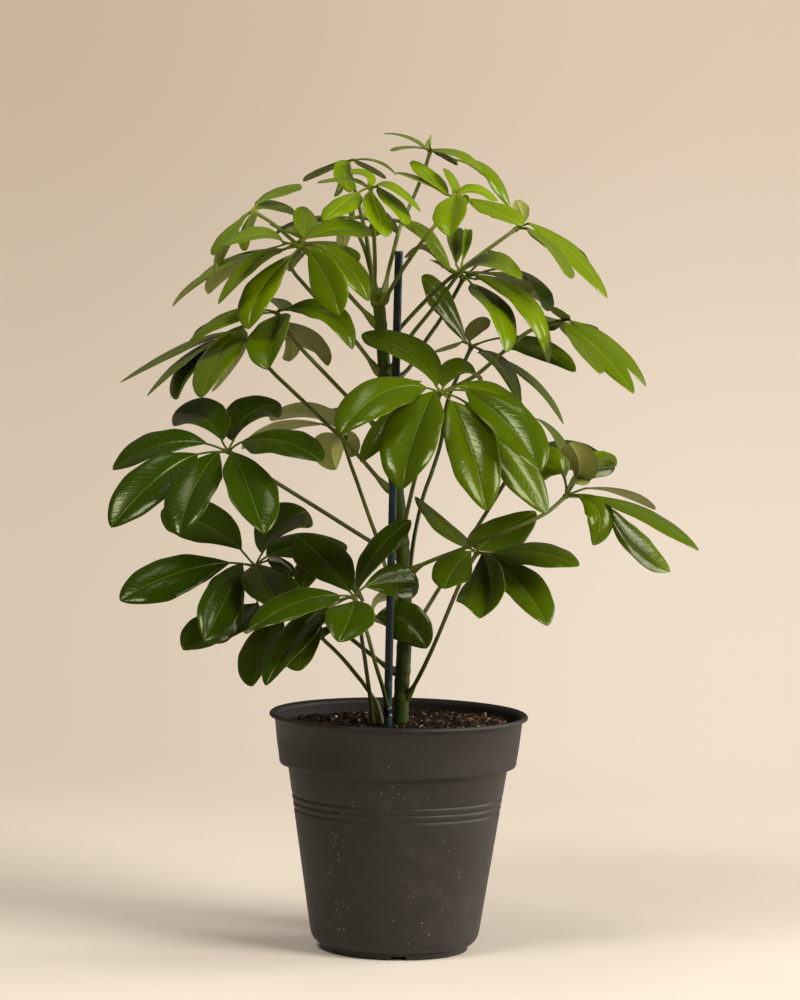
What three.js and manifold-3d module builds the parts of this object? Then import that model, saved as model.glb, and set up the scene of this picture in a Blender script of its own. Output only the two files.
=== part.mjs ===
// Potted umbrella plant in a round nursery pot, millimetres, +Z up.
// Origin: centre of the pot's foot pad, on the surface that the pot stands on.
// The plant has a woody main stem tied to nothing but standing beside a coated support
// stake. Long leaf stalks leave the stem; each ends in a hub from which a ring of
// leaflets radiates on short stalks of their own.
import * as THREE from "three";
import { mergeVertices } from "three/addons/utils/BufferGeometryUtils.js";
import Module from "manifold-3d";

// ---------------------------------------------------------------- driving dimensions
const POT_RIM_R = 95; // outside radius of the rolled lip
const POT_H = 174.3; // height of the rim
const COLLAR_TOP_R = 91; // collar just under the lip
const COLLAR_FOOT_R = 87.2; // collar just above the step
const STEP_Z = 136; // step between collar and body
const BODY_TOP_R = 80.5; // body just under the step
const BODY_FOOT_R = 62; // body just above the bottom corner
const WALL = 1.5; // wall thickness
const BASE_Z = 5; // underside of the raised base plate
const FOOT_R_OUT = 54.2; // foot ring, outside
const FOOT_R_IN = 50.5; // foot ring, inside
const PAD_R = 19; // central foot pad
const DRAIN_R = 5; // drain holes in the base plate
const NOTCH_W = 11; // notches in the foot ring
const NOTCH_H = 2.6;
const SOIL_Z = 163.5; // level of the potting mix
const SOIL_MOUND = 3.5; // rise of the mix on the right
const STEM_BASE_R = 5.65; // main stem radius at the soil
const STEM_TOP_R = 4.55; // main stem radius at the crown
const STAKE_R = 3.0; // support stake radius
const STALK_R = 1.6; // leaf stalk radius
const SHEATH_R = 2.6; // leaf stalk radius where it clasps the stem
const HUB_R = 3.0; // hub of a leaflet whorl
const PETIOLULE_R = 0.95; // stalk of a single leaflet
const BLADE_T = 1.0; // blade thickness along the midrib
const GAP = 0.32; // air between neighbouring pieces

const COLOR = {
  pot: 0x47423d, soil: 0x3a2a20, stake: 0x1d3238, stem: 0x4f5a2c,
  stalk: 0x6f8a36, leafDark: 0x2f5220, leafLight: 0x6d9a2e,
};

// Main stem and stake axes, x y z from the root to the top.
const STEM_AXIS = [[0.2, 3.5, 110], [0.7, 3, 140], [1.7, 3, 172.2], [1.7, 3, 190.7], [2.9, 3, 220.2], [2.6, 3, 257.1], [1.4, 3, 279.2], [-0.1, 3, 301.2], [-3.6, 3, 330.5], [-8.5, 3, 359.8], [-12.4, 3, 389], [-14.7, 3, 418.3], [-16.6, 3, 438.7], [-18.4, 3, 454.7], [-19.7, 3, 469.3], [-21.3, 3, 478]];
const STAKE_AXIS = [[-9, -12.5, 45], [-7.8, -12.5, 168.8], [-8, -12.5, 199.7], [-6.7, -12.5, 459.2], [-6.3, -12.5, 512.9]];

// One entry per compound leaf.
// hub: where the leaflets meet. stalk: centre line from the stem to the hub.
// leaflets: midrib as a quadratic curve (three points), half width, fold angle of the
// left and right half in degrees, place of the widest point on each half, upper side
// visible (1) or lower side (-1), handedness, and frame reference (0: -Y, 1: +Z).
const LEAVES = [
  { // compound leaf 01
    hub: [-33.2, -95, 267.9], young: 0,
    stalk: [[-4.4, 3, 153.6], [-7.4, -8.7, 175.8], [-9.3, -19.8, 184.5], [-12.2, -35.2, 197.4], [-14.6, -46.1, 205.8], [-18, -61.4, 218.3], [-21, -74.5, 230.6], [-23, -81.4, 238.5], [-26.5, -88.7, 249.9], [-29.1, -91.8, 257.2], [-33.2, -95, 267.9]],
    leaflets: [
      [-36.7, -85.2, 270.7, -51.2, -45.7, 289.2, -77.7, -21.4, 305.3, 17.6, 32, -31, 0.61, 0.52, 1, 1, 0],
      [-42.7, -101.9, 269.5, -70.8, -132.4, 274.5, -105, -151.2, 249.5, 17.6, 63, -56, 0.55, 0.58, 1, 1, 0],
      [-51.8, -95, 262.6, -77.5, -125.1, 243.2, -93.5, -143.5, 209.4, 17.6, 63, -49, 0.44, 0.51, 1, 1, 0],
      [-33.4, -102.4, 266, -33.3, -135.8, 260.9, -42.8, -156.3, 243.1, 17.7, 24, -8, 0.5, 0.5, 1, 1, 0],
      [-26.6, -95, 275.7, -2.5, -63, 278.7, 13.5, -43.4, 273.9, 13.8, -24, 38, 0.61, 0.56, 1, 1, 0],
      [-31.1, -87, 271.8, -24.9, -66.7, 299.2, 6.3, -54.3, 320.8, 15, -54, 56, 0.63, 0.61, 1, 1, 0],
      [-42.9, -87.9, 264.1, -69.3, -69, 249.9, -88, -54.2, 222.3, 15, 9, 9, 0.56, 0.56, 1, 1, 1],
    ],
  },
  { // compound leaf 02
    hub: [-29.1, 0, 245.7], young: 0,
    stalk: [[-17.4, 3, 153.3], [-19.6, 1.9, 173.1], [-20.5, 0.8, 179.5], [-21.8, -0.8, 189.2], [-22.8, -1.9, 195.6], [-24.3, -3.3, 205.2], [-25.7, -4, 214.6], [-26.8, -4, 220.9], [-28.3, -3.1, 230.2], [-28.8, -2, 236.4], [-29.1, 0, 245.7]],
    leaflets: [
      [-18.3, -4.2, 245.2, 7.7, -5, 249.1, 19.6, -5.4, 222.4, 14.8, -8, 16, 0.52, 0.48, 1, 1, 0],
      [-21, 0, 247.6, -18.6, 20.7, 257.4, -5.2, 33.4, 254.7, 8.2, -40, 64, 0.53, 0.55, -1, 1, 0],
      [-28.5, 0, 255.9, -32.2, 21.1, 260.8, -35.6, 34, 272.6, 8.2, 61, -78, 0.56, 0.54, 1, 1, 0],
      [-36.8, 8.6, 243.7, -62.1, 36.2, 237.7, -85.6, 63.6, 218, 16.4, 9, 9, 0.56, 0.56, 1, 1, 1],
      [-30.3, -11.6, 245.2, -34.1, -49.1, 250.5, -38.7, -86.4, 236.4, 16.4, 9, 9, 0.56, 0.56, 1, 1, 1],
      [-38.5, -6.9, 246.7, -68.2, -30, 261, -98.3, -51.2, 258, 16.4, 9, 9, 0.56, 0.56, 1, 1, 1],
      [-39.3, -4.5, 242.2, -70.1, -17.8, 225.6, -96.8, -31.9, 200.3, 16.4, 9, 9, 0.56, 0.56, 1, 1, 1],
    ],
  },
  { // compound leaf 03
    hub: [-74.2, 14, 252.3], young: 0,
    stalk: [[-8.7, 3, 153.5], [-15.2, 4.7, 178.1], [-19.7, 6.4, 185], [-27, 9.1, 194.9], [-32.4, 10.8, 201.1], [-40.6, 13.1, 210.4], [-49.4, 14.8, 219.1], [-55.6, 15.4, 224.6], [-63.8, 15.5, 234.1], [-68.5, 15.1, 241.1], [-74.2, 14, 252.3]],
    leaflets: [
      [-86.8, 14, 243.4, -106, -23.8, 226.7, -106.1, -46.9, 197.5, 16.8, 45, -37, 0.53, 0.58, 1, 1, 0],
      [-72.1, 5.5, 246.8, -71.9, -38.7, 233.6, -71.3, -65.8, 211.7, 16.8, 27, -26, 0.5, 0.58, 1, 1, 0],
      [-73, 15.3, 259.1, -69.8, 40.9, 274.5, -69.1, 56.6, 283.2, 10.1, -18, 18, 0.58, 0.57, 1, 1, 0],
      [-68.3, 24.2, 250.2, -48.5, 59.2, 245, -30.8, 87.2, 223.2, 16.8, 9, 9, 0.56, 0.56, 1, 1, 1],
      [-86, 14, 250.2, -125.3, 14.5, 245.4, -161.2, 12.9, 223.2, 16.8, 9, 9, 0.56, 0.56, 1, 1, 1],
      [-80.1, 24.2, 250.2, -99.9, 57.3, 243.5, -115.9, 87.5, 222.5, 16.8, 9, 9, 0.56, 0.56, 1, 1, 1],
      [-62.7, 16.5, 250.2, -24.9, 25.4, 244.9, 10, 31.9, 225.1, 16.8, 9, 9, 0.56, 0.56, 1, 1, 1],
    ],
  },
  { // compound leaf 04
    hub: [-106.3, -11, 280.6], young: 0,
    stalk: [[-1.9, 3, 203.2], [-10.7, 2.7, 208.6], [-23.2, 2.3, 218], [-35.5, 1.9, 227.5], [-43.9, 1.6, 233.5], [-52.4, 1.1, 239.6], [-65.1, -0.2, 248.7], [-77.6, -2.5, 258], [-85.9, -4.5, 264.3], [-94.1, -6.9, 270.8], [-106.3, -11, 280.6]],
    leaflets: [
      [-117.1, -11, 292.7, -140.6, 25.3, 311.4, -179.9, 47.5, 315.6, 18.9, 43, -31, 0.61, 0.58, 1, 1, 0],
      [-125, -11, 283.4, -165.3, -32, 281.7, -203, -44.8, 257.4, 18.9, 38, -43, 0.61, 0.61, 1, 1, 0],
      [-115.7, -18.6, 283.9, -125.7, -69.1, 262.5, -139.3, -100, 235.7, 18.9, -18, 31, 0.66, 0.66, 1, 1, 0],
      [-104.3, -11, 254.2, -125.1, -53.4, 241.7, -154.7, -79.4, 226.2, 18.9, 63, -33, 0.5, 0.66, 1, 1, 0],
      [-105.8, -20, 283.5, -96.1, -64.3, 271.4, -83.1, -91.5, 256.6, 19, -8, 44, 0.67, 0.42, 1, 1, 0],
      [-102.1, -3.9, 289.6, -95.1, 44.4, 312.6, -69.2, 74, 315.2, 18.9, -39, 53, 0.59, 0.58, 1, 1, 0],
      [-98.7, -4.3, 287.7, -76.4, 36.8, 296.6, -39.7, 62, 291.1, 18.9, -64, 56, 0.52, 0.57, 1, 1, 0],
      [-98.5, -11, 285.8, -77.8, -38.2, 281.8, -78.1, -54.8, 279.6, 13.8, 61, -8, 0.5, 0.55, 1, 1, 0],
    ],
  },
  { // compound leaf 05
    hub: [54.4, -37, 296.2], young: 0,
    stalk: [[3.7, 3, 182.6], [9, -1.9, 191.3], [15.7, -9.2, 205.1], [21.7, -16.6, 219.2], [25.4, -21.4, 228.6], [29, -25.9, 238.1], [34.2, -31.4, 252.2], [39.4, -35.1, 266], [43.1, -36.4, 275], [47.1, -37, 283.8], [54.4, -37, 296.2]],
    leaflets: [
      [50, -44.7, 298.2, 34.1, -82.3, 288.4, 31.5, -105.4, 277.1, 14.1, 20, -20, 0.57, 0.55, 1, 1, 0],
      [57.8, -47.3, 297, 65.7, -93, 270.2, 56.8, -121.1, 258.3, 21.7, 64, -8, 0.57, 0.62, 1, 1, 0],
      [65.6, -41.5, 294.7, 90.7, -78.9, 278.4, 103.6, -101.8, 251.7, 17.6, -37, 46, 0.5, 0.44, 1, 1, 0],
      [63.7, -44.1, 296.3, 97.3, -78.8, 307.6, 124.9, -100.1, 293.7, 17.6, -71, 59, 0.56, 0.59, 1, 1, 0],
      [55.1, -26.4, 297.1, 62.7, 13.2, 302.4, 99.4, 37.5, 321.7, 17.6, -47, 36, 0.44, 0.5, 1, 1, 0],
      [46.5, -28.1, 299.3, 38.9, 10.4, 302.3, 8.6, 34, 331.7, 17.6, 74, -74, 0.45, 0.46, 1, 1, 0],
      [62.4, -28.1, 292.4, 87.7, -0.6, 276.1, 106.6, 20, 244.2, 17.6, 9, 9, 0.56, 0.56, 1, 1, 1],
    ],
  },
  { // compound leaf 06
    hub: [83.9, 29.6, 361.6], young: 0.22,
    stalk: [[2.2, 3, 220.2], [8.2, 6.8, 231.6], [18, 10.4, 248.4], [28, 14.7, 265.1], [34.7, 17.6, 276.3], [41.4, 20.3, 287.4], [51.6, 23.8, 304.2], [61.9, 26.3, 321], [68.7, 27.5, 332.3], [75.2, 28.3, 343.7], [83.9, 29.6, 361.6]],
    leaflets: [
      [92.1, 38.3, 359.6, 123.9, 71.1, 367.2, 159.7, 91.4, 351.1, 18.5, -55, 51, 0.53, 0.59, 1, 1, 0],
      [80.1, 41.3, 359.2, 67.1, 82.5, 353.3, 54, 119, 329.5, 18.5, 9, 9, 0.56, 0.56, 1, 1, 1],
      [77.4, 17.7, 362.7, 56.3, -18.6, 378.4, 36.1, -54.7, 379, 18.5, 9, 9, 0.56, 0.56, 1, 1, 1],
      [82.9, 16.2, 360.9, 77.6, -27, 365.2, 74.8, -67.9, 355, 18.5, 9, 9, 0.56, 0.56, 1, 1, 1],
      [85.6, 42.4, 360.9, 88.9, 86.7, 366.7, 92.9, 128.8, 354.3, 18.5, 9, 9, 0.56, 0.56, 1, 1, 1],
      [77.5, 40.6, 362.6, 56.2, 77.7, 377.2, 34.5, 113.9, 378.3, 18.5, 9, 9, 0.56, 0.56, 1, 1, 1],
    ],
  },
  { // compound leaf 07
    hub: [-125, -76, 368.6], young: 0.25,
    stalk: [[-4.2, 3, 289.4], [-14.4, -3.3, 295.4], [-29.3, -12.8, 304.8], [-43.9, -22.3, 314.5], [-53.6, -28.6, 321], [-63.3, -34.9, 327.4], [-77.8, -44.4, 336.9], [-92.1, -53.9, 346.3], [-101.7, -60.2, 352.6], [-111.1, -66.5, 358.9], [-125, -76, 368.6]],
    leaflets: [
      [-130.3, -67.6, 375.9, -142.2, -19.9, 396.2, -169.9, 9.4, 390, 18.9, 59, -45, 0.5, 0.58, 1, 1, 0],
      [-122.1, -67, 376, -120, -19, 396.9, -90.2, 10.5, 399.4, 18.9, -48, 55, 0.56, 0.5, 1, 1, 0],
      [-140.3, -72, 373.9, -175.9, -61.7, 379.2, -209.4, -55.3, 352.8, 18.9, 72, -54, 0.5, 0.57, 1, 1, 0],
      [-147, -76, 366.8, -174.4, -102.6, 357.2, -205.7, -118.9, 316.5, 18.9, 42, -26, 0.5, 0.62, 1, 1, 0],
      [-131.7, -85.8, 369.1, -149.6, -126.7, 352, -156, -151.8, 315.2, 18.9, 38, -24, 0.57, 0.58, 1, 1, 0],
      [-121.9, -87.2, 369.5, -109.1, -135.8, 350.9, -96.4, -165.5, 318.6, 19.6, -13, 49, 0.56, 0.6, 1, 1, 0],
      [-116.4, -82.6, 376.2, -86.1, -123, 387.9, -58.1, -147.7, 367.8, 18.9, -60, 59, 0.62, 0.48, 1, 1, 0],
    ],
  },
  { // compound leaf 08
    hub: [117.9, -38, 338.9], young: 0.14,
    stalk: [[5.5, 3, 277], [14, -4.9, 283.5], [27.8, -17, 290.8], [42, -29.3, 297.5], [51.3, -37, 302.2], [60.7, -43.7, 306.8], [74.6, -50.7, 313.3], [88.5, -52.4, 319.8], [97.7, -50.5, 324], [106.4, -46.5, 329.1], [117.9, -38, 338.9]],
    leaflets: [
      [132.2, -38, 345, 154.8, 6.3, 342.5, 184.9, 33.5, 325.2, 19.3, -72, 80, 0.45, 0.56, -1, 1, 0],
      [133, -38, 340, 182.9, -47.7, 331.2, 213.8, -53.6, 302.4, 19.3, -79, 75, 0.55, 0.53, 1, 1, 0],
      [147.2, -38, 332.3, 164.2, -25.1, 304.5, 196.1, -17.3, 283.8, 19.3, -62, 66, 0.6, 0.51, 1, 1, 0],
      [125.9, -45, 340.3, 151.1, -53.5, 332, 137.2, -60, 305.6, 11.5, -25, 36, 0.55, 0.55, 1, 1, 0],
      [123.4, -38, 348.4, 131.5, -64.1, 364.5, 116.9, -80.1, 380.7, 13.7, 47, -8, 0.55, 0.42, -1, 1, 0],
      [119.2, -38, 345.5, 124, -49.1, 354, 130.7, -55.9, 347.7, 10.1, 65, -64, 0.56, 0.57, -1, 1, 0],
      [117.2, -27, 351.2, 116.8, 20.5, 377.4, 100.5, 49.6, 389.2, 19.3, 78, -78, 0.61, 0.58, 1, 1, 0],
      [125.9, -34, 351.1, 139.9, -14, 367, 156.2, 6, 357.4, 10.2, 23, -45, 0.5, 0.5, 1, 1, 0],
      [115.2, -42, 355.1, 106, -41, 366.4, 84.3, -36, 357, 15, 48, -24, 0.5, 0.5, 1, 1, 0],
    ],
  },
  { // compound leaf 09
    hub: [-47.1, 72, 374.6], young: 0.27,
    stalk: [[-4.4, 3, 258.4], [-7.6, 8.5, 267.6], [-12.4, 16.8, 281.5], [-16.9, 25.1, 295.5], [-20.4, 30.6, 304.7], [-24.2, 36.1, 313.8], [-29.6, 44.4, 327.7], [-35, 52.7, 341.6], [-38.8, 58.2, 350.9], [-42.3, 63.7, 360.3], [-47.1, 72, 374.6]],
    leaflets: [
      [-51.6, 63.7, 381, -72.7, 32.2, 397.6, -99.7, 12.9, 389.7, 18, 66, -58, 0.56, 0.4, -1, 1, 0],
      [-61.4, 72, 381, -92.3, 100.9, 385.1, -122, 118.6, 358.1, 18, 71, -73, 0.56, 0.56, -1, 1, 0],
      [-47.8, 80.7, 372, -60, 118.6, 364.7, -51.4, 141.9, 343, 15.3, 39, -13, 0.65, 0.44, -1, 1, 0],
      [-47, 77.7, 373.2, -38.1, 101, 375.2, -41.5, 115.3, 354.5, 9.9, -42, 41, 0.64, 0.58, -1, 1, 0],
      [-39.1, 80.9, 377.2, -15.6, 107.2, 402.3, 11, 134.1, 412.5, 18, 9, 9, 0.56, 0.56, 1, 1, 1],
      [-48.4, 84.2, 375.7, -53, 123.8, 391.1, -55.9, 160.8, 387.5, 18, 9, 9, 0.56, 0.56, 1, 1, 1],
    ],
  },
  { // compound leaf 10
    hub: [24.8, -103, 415.1], young: 0.41,
    stalk: [[-0, 3, 297.5], [0.9, -5.5, 307.4], [3, -18.2, 322.1], [5.7, -30.9, 336.5], [7.6, -39.4, 346], [9.8, -47.9, 355.4], [13.3, -60.6, 369.4], [16.7, -73.3, 383.2], [19, -81.8, 392.4], [21.2, -90.3, 401.6], [24.8, -103, 415.1]],
    leaflets: [
      [22.2, -92.1, 419, 9.2, -53.7, 444.6, -32.7, -30.1, 453.2, 19.3, 69, -47, 0.58, 0.5, 1, 1, 0],
      [15.8, -111.5, 418.9, -18, -146.2, 428.6, -44, -167.5, 389.1, 19.3, 46, -45, 0.54, 0.71, 1, 1, 0],
      [21.2, -114.3, 417.2, 4.7, -151.5, 392.3, -0.4, -174.4, 352.3, 23.6, 47, -13, 0.6, 0.52, 1, 1, 0],
      [31.9, -112, 410.6, 47, -140.3, 386.7, 58.5, -157.7, 336.7, 19.4, -8, 33, 0.5, 0.57, 1, 1, 0],
      [42.6, -103, 417.8, 75.3, -134.8, 401, 94.9, -154.2, 364.3, 19.3, -20, 58, 0.62, 0.49, 1, 1, 0],
      [36.6, -99, 419.7, 59.2, -88.2, 421.3, 87.2, -81.6, 402.4, 16.4, -68, 59, 0.62, 0.46, 1, 1, 0],
      [26.9, -94.9, 418.7, 40.2, -57.5, 434.7, 52.2, -34.6, 423.6, 14.5, -48, 77, 0.42, 0.56, 1, 1, 0],
      [41.6, -103, 410, 75.1, -112.7, 378.3, 102.2, -118.6, 332, 19.3, -46, 46, 0.5, 0.56, 1, 1, 0],
      [16.7, -107, 414.4, -2.9, -113.6, 403.8, -30.5, -117.6, 365.8, 13.1, 52, -41, 0.43, 0.66, 1, 1, 0],
    ],
  },
  { // compound leaf 11
    hub: [48.5, 33.6, 442.6], young: 0.51,
    stalk: [[5.1, 3, 263], [6.2, 12.5, 277.2], [8.5, 25.9, 298.6], [12.6, 39.9, 319.9], [16.3, 48.7, 334], [21.2, 56, 347.8], [27.5, 62.5, 369.4], [30.2, 61.6, 392.1], [33.7, 56.6, 407], [39.6, 48.5, 421.4], [48.5, 33.6, 442.6]],
    leaflets: [
      [44.7, 29.8, 444.5, 29.9, 17.5, 480, 10.6, 10, 493.2, 18.5, 60, -66, 0.66, 0.65, 1, 1, 0],
      [46.4, 24, 446.3, 50.5, 2, 458.3, 57.8, -12, 467, 8.5, -35, 35, 0.56, 0.56, -1, 1, 0],
      [41.4, 38, 446, 33.7, 75.1, 442.2, 20.9, 97.9, 435.1, 5, 47, -76, 0.6, 0.57, -1, 1, 0],
      [69.1, 33, 449.5, 96.2, -8, 450.7, 121.1, -33.2, 428.9, 18.5, -67, 63, 0.56, 0.5, 1, 1, 0],
      [59.1, 25.9, 439, 101.9, 16.6, 422.1, 116.6, 10.9, 387.7, 18.5, -82, 82, 0.53, 0.55, 1, 1, 0],
      [54.3, 23.6, 440.4, 71.7, -12.4, 439.4, 82.9, -34.5, 404.8, 18.5, -76, 71, 0.52, 0.54, 1, 1, 0],
    ],
  },
  { // compound leaf 12
    hub: [-116.5, 17.1, 444.4], young: 0.52,
    stalk: [[-8.8, 3, 337], [-17.6, 4.1, 345.3], [-29.9, 5.8, 358.9], [-42.7, 7.5, 372], [-51.7, 8.6, 380.3], [-60.8, 9.7, 388.5], [-74.2, 11.4, 401], [-87.8, 13.1, 413.3], [-96.8, 14.2, 421.6], [-105, 15.3, 430.6], [-116.5, 17.1, 444.4]],
    leaflets: [
      [-119.3, -4, 456.5, -135.5, -62.1, 444.1, -143.3, -98.1, 409.1, 19.3, 50, -52, 0.54, 0.56, 1, 1, 0],
      [-122.2, 8.9, 453, -163, -22.9, 428.8, -163.2, -42, 404.9, 19.3, 72, -64, 0.44, 0.58, 1, 1, 0],
      [-124.1, 8.5, 451.5, -154.2, -0.6, 448.6, -207.9, -6.7, 412.9, 19.3, 83, -83, 0.56, 0.56, 1, 1, 0],
      [-134.6, 17.2, 446.7, -155.1, -21.3, 440.7, -185.3, -45.1, 406.2, 19.3, 82, -82, 0.56, 0.56, 1, 1, 0],
      [-123.5, 26.5, 441.1, -126.7, 77.5, 429.1, -141.6, 108.2, 404.6, 19.3, 76, -82, 0.5, 0.61, -1, 1, 0],
      [-109.5, 28.9, 444.6, -86.4, 67.7, 448, -63.9, 105.2, 432.4, 19.3, 9, 9, 0.56, 0.56, 1, 1, 1],
      [-126.7, 26.7, 443.4, -141.5, 52.8, 433.4, -148.7, 76, 418.1, 16.4, 9, 9, 0.56, 0.56, 1, 1, 1],
    ],
  },
  { // compound leaf 13
    hub: [-93.7, -24, 466.7], young: 0.6,
    stalk: [[-14.7, 3, 379.5], [-22, 0.8, 385.6], [-32.2, -2.4, 395.6], [-42, -5.6, 405.9], [-48.6, -7.8, 412.7], [-55.2, -10, 419.5], [-65.1, -13.2, 429.7], [-74.9, -16.4, 439.9], [-80.8, -18.6, 447.1], [-86.4, -20.8, 454.7], [-93.7, -24, 466.7]],
    leaflets: [
      [-100.5, -30.5, 468.7, -125.6, -51.2, 474.4, -154.9, -63.9, 446.9, 14.7, 65, -81, 0.61, 0.54, 1, 1, 0],
      [-87.8, -31.2, 469.2, -52.7, -49.9, 480.2, -38.6, -61.3, 443.3, 14.7, -47, 64, 0.55, 0.56, 1, 1, 0],
      [-91.8, -17.8, 468.7, -93.4, 14, 472.9, -97.2, 33.5, 476.4, 11.8, 56, -52, 0.59, 0.58, 1, 1, 0],
      [-91.4, -32.7, 466, -95, -74.3, 453.4, -97.2, -99.9, 429.6, 18.9, 60, -8, 0.54, 0.58, 1, 1, 0],
      [-87.2, -19.7, 460.1, -66, 13.3, 452.7, -58.6, 33.5, 427.7, 14.7, -63, 57, 0.56, 0.56, -1, 1, 0],
      [-86.8, -24, 457.4, -80, -4.3, 441.1, -84.6, 7.8, 430.7, 8.8, 51, -40, 0.59, 0.64, -1, 1, 0],
      [-103.9, -21.9, 465.9, -131.4, -16.3, 465.2, -155.5, -10.8, 448.7, 12.5, 9, 9, 0.56, 0.56, 1, 1, 1],
    ],
  },
  { // compound leaf 14
    hub: [110.7, -30.3, 464.7], young: 0.59,
    stalk: [[-6.4, 3, 402.3], [4.5, -2.6, 404.1], [20.3, -11.2, 408], [35.1, -19.9, 415.2], [44.7, -25.4, 420.4], [53.6, -30.2, 426.6], [65.6, -35.5, 437.7], [77.5, -37.4, 448.7], [85.9, -36.7, 455.6], [95.3, -34.6, 460.6], [110.7, -30.3, 464.7]],
    leaflets: [
      [116.2, -44.2, 466.5, 151.1, -55.2, 455.4, 172.7, -60.9, 420.5, 12.5, -70, 70, 0.56, 0.56, 1, 1, 0],
      [112.3, -49.8, 464, 139.7, -86.1, 451.1, 161.5, -105.8, 417.6, 14, -57, 55, 0.49, 0.48, 1, 1, 0],
      [114.3, -49.9, 462.3, 124.6, -100.7, 448.8, 135.1, -124.2, 433.3, 11, -59, 69, 0.75, 0.56, 1, 1, 0],
      [114.5, -30.3, 465, 110.8, -45.2, 470.1, 106.7, -54.1, 476.4, 9, 59, -59, 0.54, 0.58, -1, 1, 0],
      [112.2, -22.3, 465, 110.2, 12.6, 459.1, 97.6, 34.4, 467.9, 12.6, 68, -68, 0.56, 0.52, 1, 1, 0],
      [118.7, -20.8, 462.5, 133.7, -0.8, 455.3, 151.1, 13.7, 436.4, 15.4, 9, 9, 0.56, 0.56, 1, 1, 1],
      [114.7, -17.9, 463.3, 125.7, 16.7, 461.5, 134, 44.5, 443.1, 15.4, 9, 9, 0.56, 0.56, 1, 1, 1],
    ],
  },
  { // compound leaf 15
    hub: [78.2, -17, 530.6], young: 0.82,
    stalk: [[-13.8, 3, 445.3], [-7.3, -1.6, 453.3], [2.6, -8.6, 464.9], [12.7, -15.7, 476.3], [19.7, -20.2, 483.6], [26.9, -24, 490.7], [38.2, -27.7, 500.5], [50, -28.1, 509.7], [58, -26.3, 515.8], [66, -23.2, 521.7], [78.2, -17, 530.6]],
    leaflets: [
      [86.3, -20.3, 535.5, 118.8, -32.9, 522.5, 144.4, -40.7, 482.5, 17.6, -71, 70, 0.56, 0.56, 1, 1, 0],
      [86.9, -24.8, 531.6, 104.1, -70.8, 520.3, 111.1, -99.1, 501.2, 17.6, -69, 76, 0.72, 0.56, 1, 1, 0],
      [81.6, -20, 533.4, 83.5, -28, 541.3, 76.3, -32, 551.6, 8, -36, 36, 0.69, 0.47, -1, 1, 0],
      [79, -8, 534.1, 71.1, 14, 538.6, 61.3, 28, 543.4, 8.8, 60, -65, 0.56, 0.56, 1, 1, 0],
      [86.4, -8, 530.6, 108.4, 20, 519.3, 131, 40, 500.4, 17.6, 9, 9, 0.56, 0.56, 1, 1, 1],
    ],
  },
  { // compound leaf 16
    hub: [41.2, 36, 492.2], young: 0.69,
    stalk: [[-11.1, 3, 419.8], [-4, 8.6, 420.8], [3.5, 17.2, 427.7], [9.1, 25.9, 437.1], [12.8, 31.4, 443.4], [16.9, 36.2, 449.6], [23.2, 41.5, 458.8], [29.1, 43.4, 468.4], [32.6, 42.7, 475.2], [36.1, 40.6, 481.9], [41.2, 36, 492.2]],
    leaflets: [
      [72.6, 32, 501, 93.9, -14.1, 494.5, 97.4, -42.4, 476, 18.1, -66, 76, 0.62, 0.56, 1, 1, 0],
      [60, 36, 508.7, 71.7, 50.1, 505.7, 82.3, 58.7, 490.8, 18.1, -76, 81, 0.56, 0.56, 1, 1, 0],
      [26.3, 36, 500.2, 12.4, 28.9, 525.6, -2.7, 24.5, 506.9, 18.1, 79, -84, 0.55, 0.55, -1, 1, 0],
      [32.2, 36, 497, 22.9, 20.7, 503.9, 17.7, 11.4, 506.3, 6.3, 80, -66, 0.57, 0.57, -1, 1, 0],
      [49.7, 45.4, 491.9, 78.2, 77.3, 494.7, 102.5, 106.3, 475.4, 18.1, 9, 9, 0.56, 0.56, 1, 1, 1],
    ],
  },
  { // compound leaf 17
    hub: [37.3, -34, 498.4], young: 0.71,
    stalk: [[-14.8, 3, 421.2], [-10.1, -0.5, 427.1], [-4.6, -4.4, 436.9], [0.8, -8.8, 446.8], [4.7, -11.8, 453.2], [9.2, -14.8, 459.2], [16, -19.2, 468], [22.6, -23.6, 477], [26.9, -26.6, 483.1], [31.1, -29.6, 489.2], [37.3, -34, 498.4]],
    leaflets: [
      [31.5, -37.7, 499.8, 19.4, -50.3, 527.8, -6.1, -58.1, 534.3, 18.5, 74, -74, 0.42, 0.53, 1, 1, 0],
      [35.1, -23.3, 503.8, 35.8, 26.9, 516.7, 34.5, 57.6, 529.2, 9.2, 42, 42, 0.64, 0.52, 1, 1, 0],
      [39.4, -29, 505.5, 43.1, 7.5, 519.2, 44.2, 29.9, 529.8, 5.5, 50, 50, 0.59, 0.57, 1, 1, 0],
      [38.6, -44.9, 500.5, 55.2, -91.4, 516, 79.1, -120, 497.3, 18.5, -73, 73, 0.45, 0.41, 1, 1, 0],
      [45.8, -56.3, 498.1, 98.3, -68.3, 490.3, 102.1, -75.7, 436.2, 18.5, -71, 66, 0.55, 0.5, 1, 1, 0],
      [45.8, -39.9, 491.4, 69.3, -82.9, 478.4, 70.1, -109.3, 446.7, 18.5, -58, 65, 0.51, 0.46, 1, 1, 0],
      [46, -24.3, 498.6, 70.8, 3.5, 498.9, 90, 24.8, 483.3, 15.7, 9, 9, 0.56, 0.56, 1, 1, 1],
    ],
  },
  { // compound leaf 18
    hub: [-76.8, -41, 515.1], young: 0.77,
    stalk: [[-18.5, 3, 422.6], [-24.4, -0.5, 430.4], [-33.3, -5.8, 442.2], [-42.7, -11.1, 453.5], [-49.3, -14.6, 460.7], [-55.9, -18.1, 467.8], [-65.8, -23.4, 478.4], [-75.5, -28.7, 489.2], [-81.7, -32.2, 496.5], [-84.6, -35.7, 504.6], [-76.8, -41, 515.1]],
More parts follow.
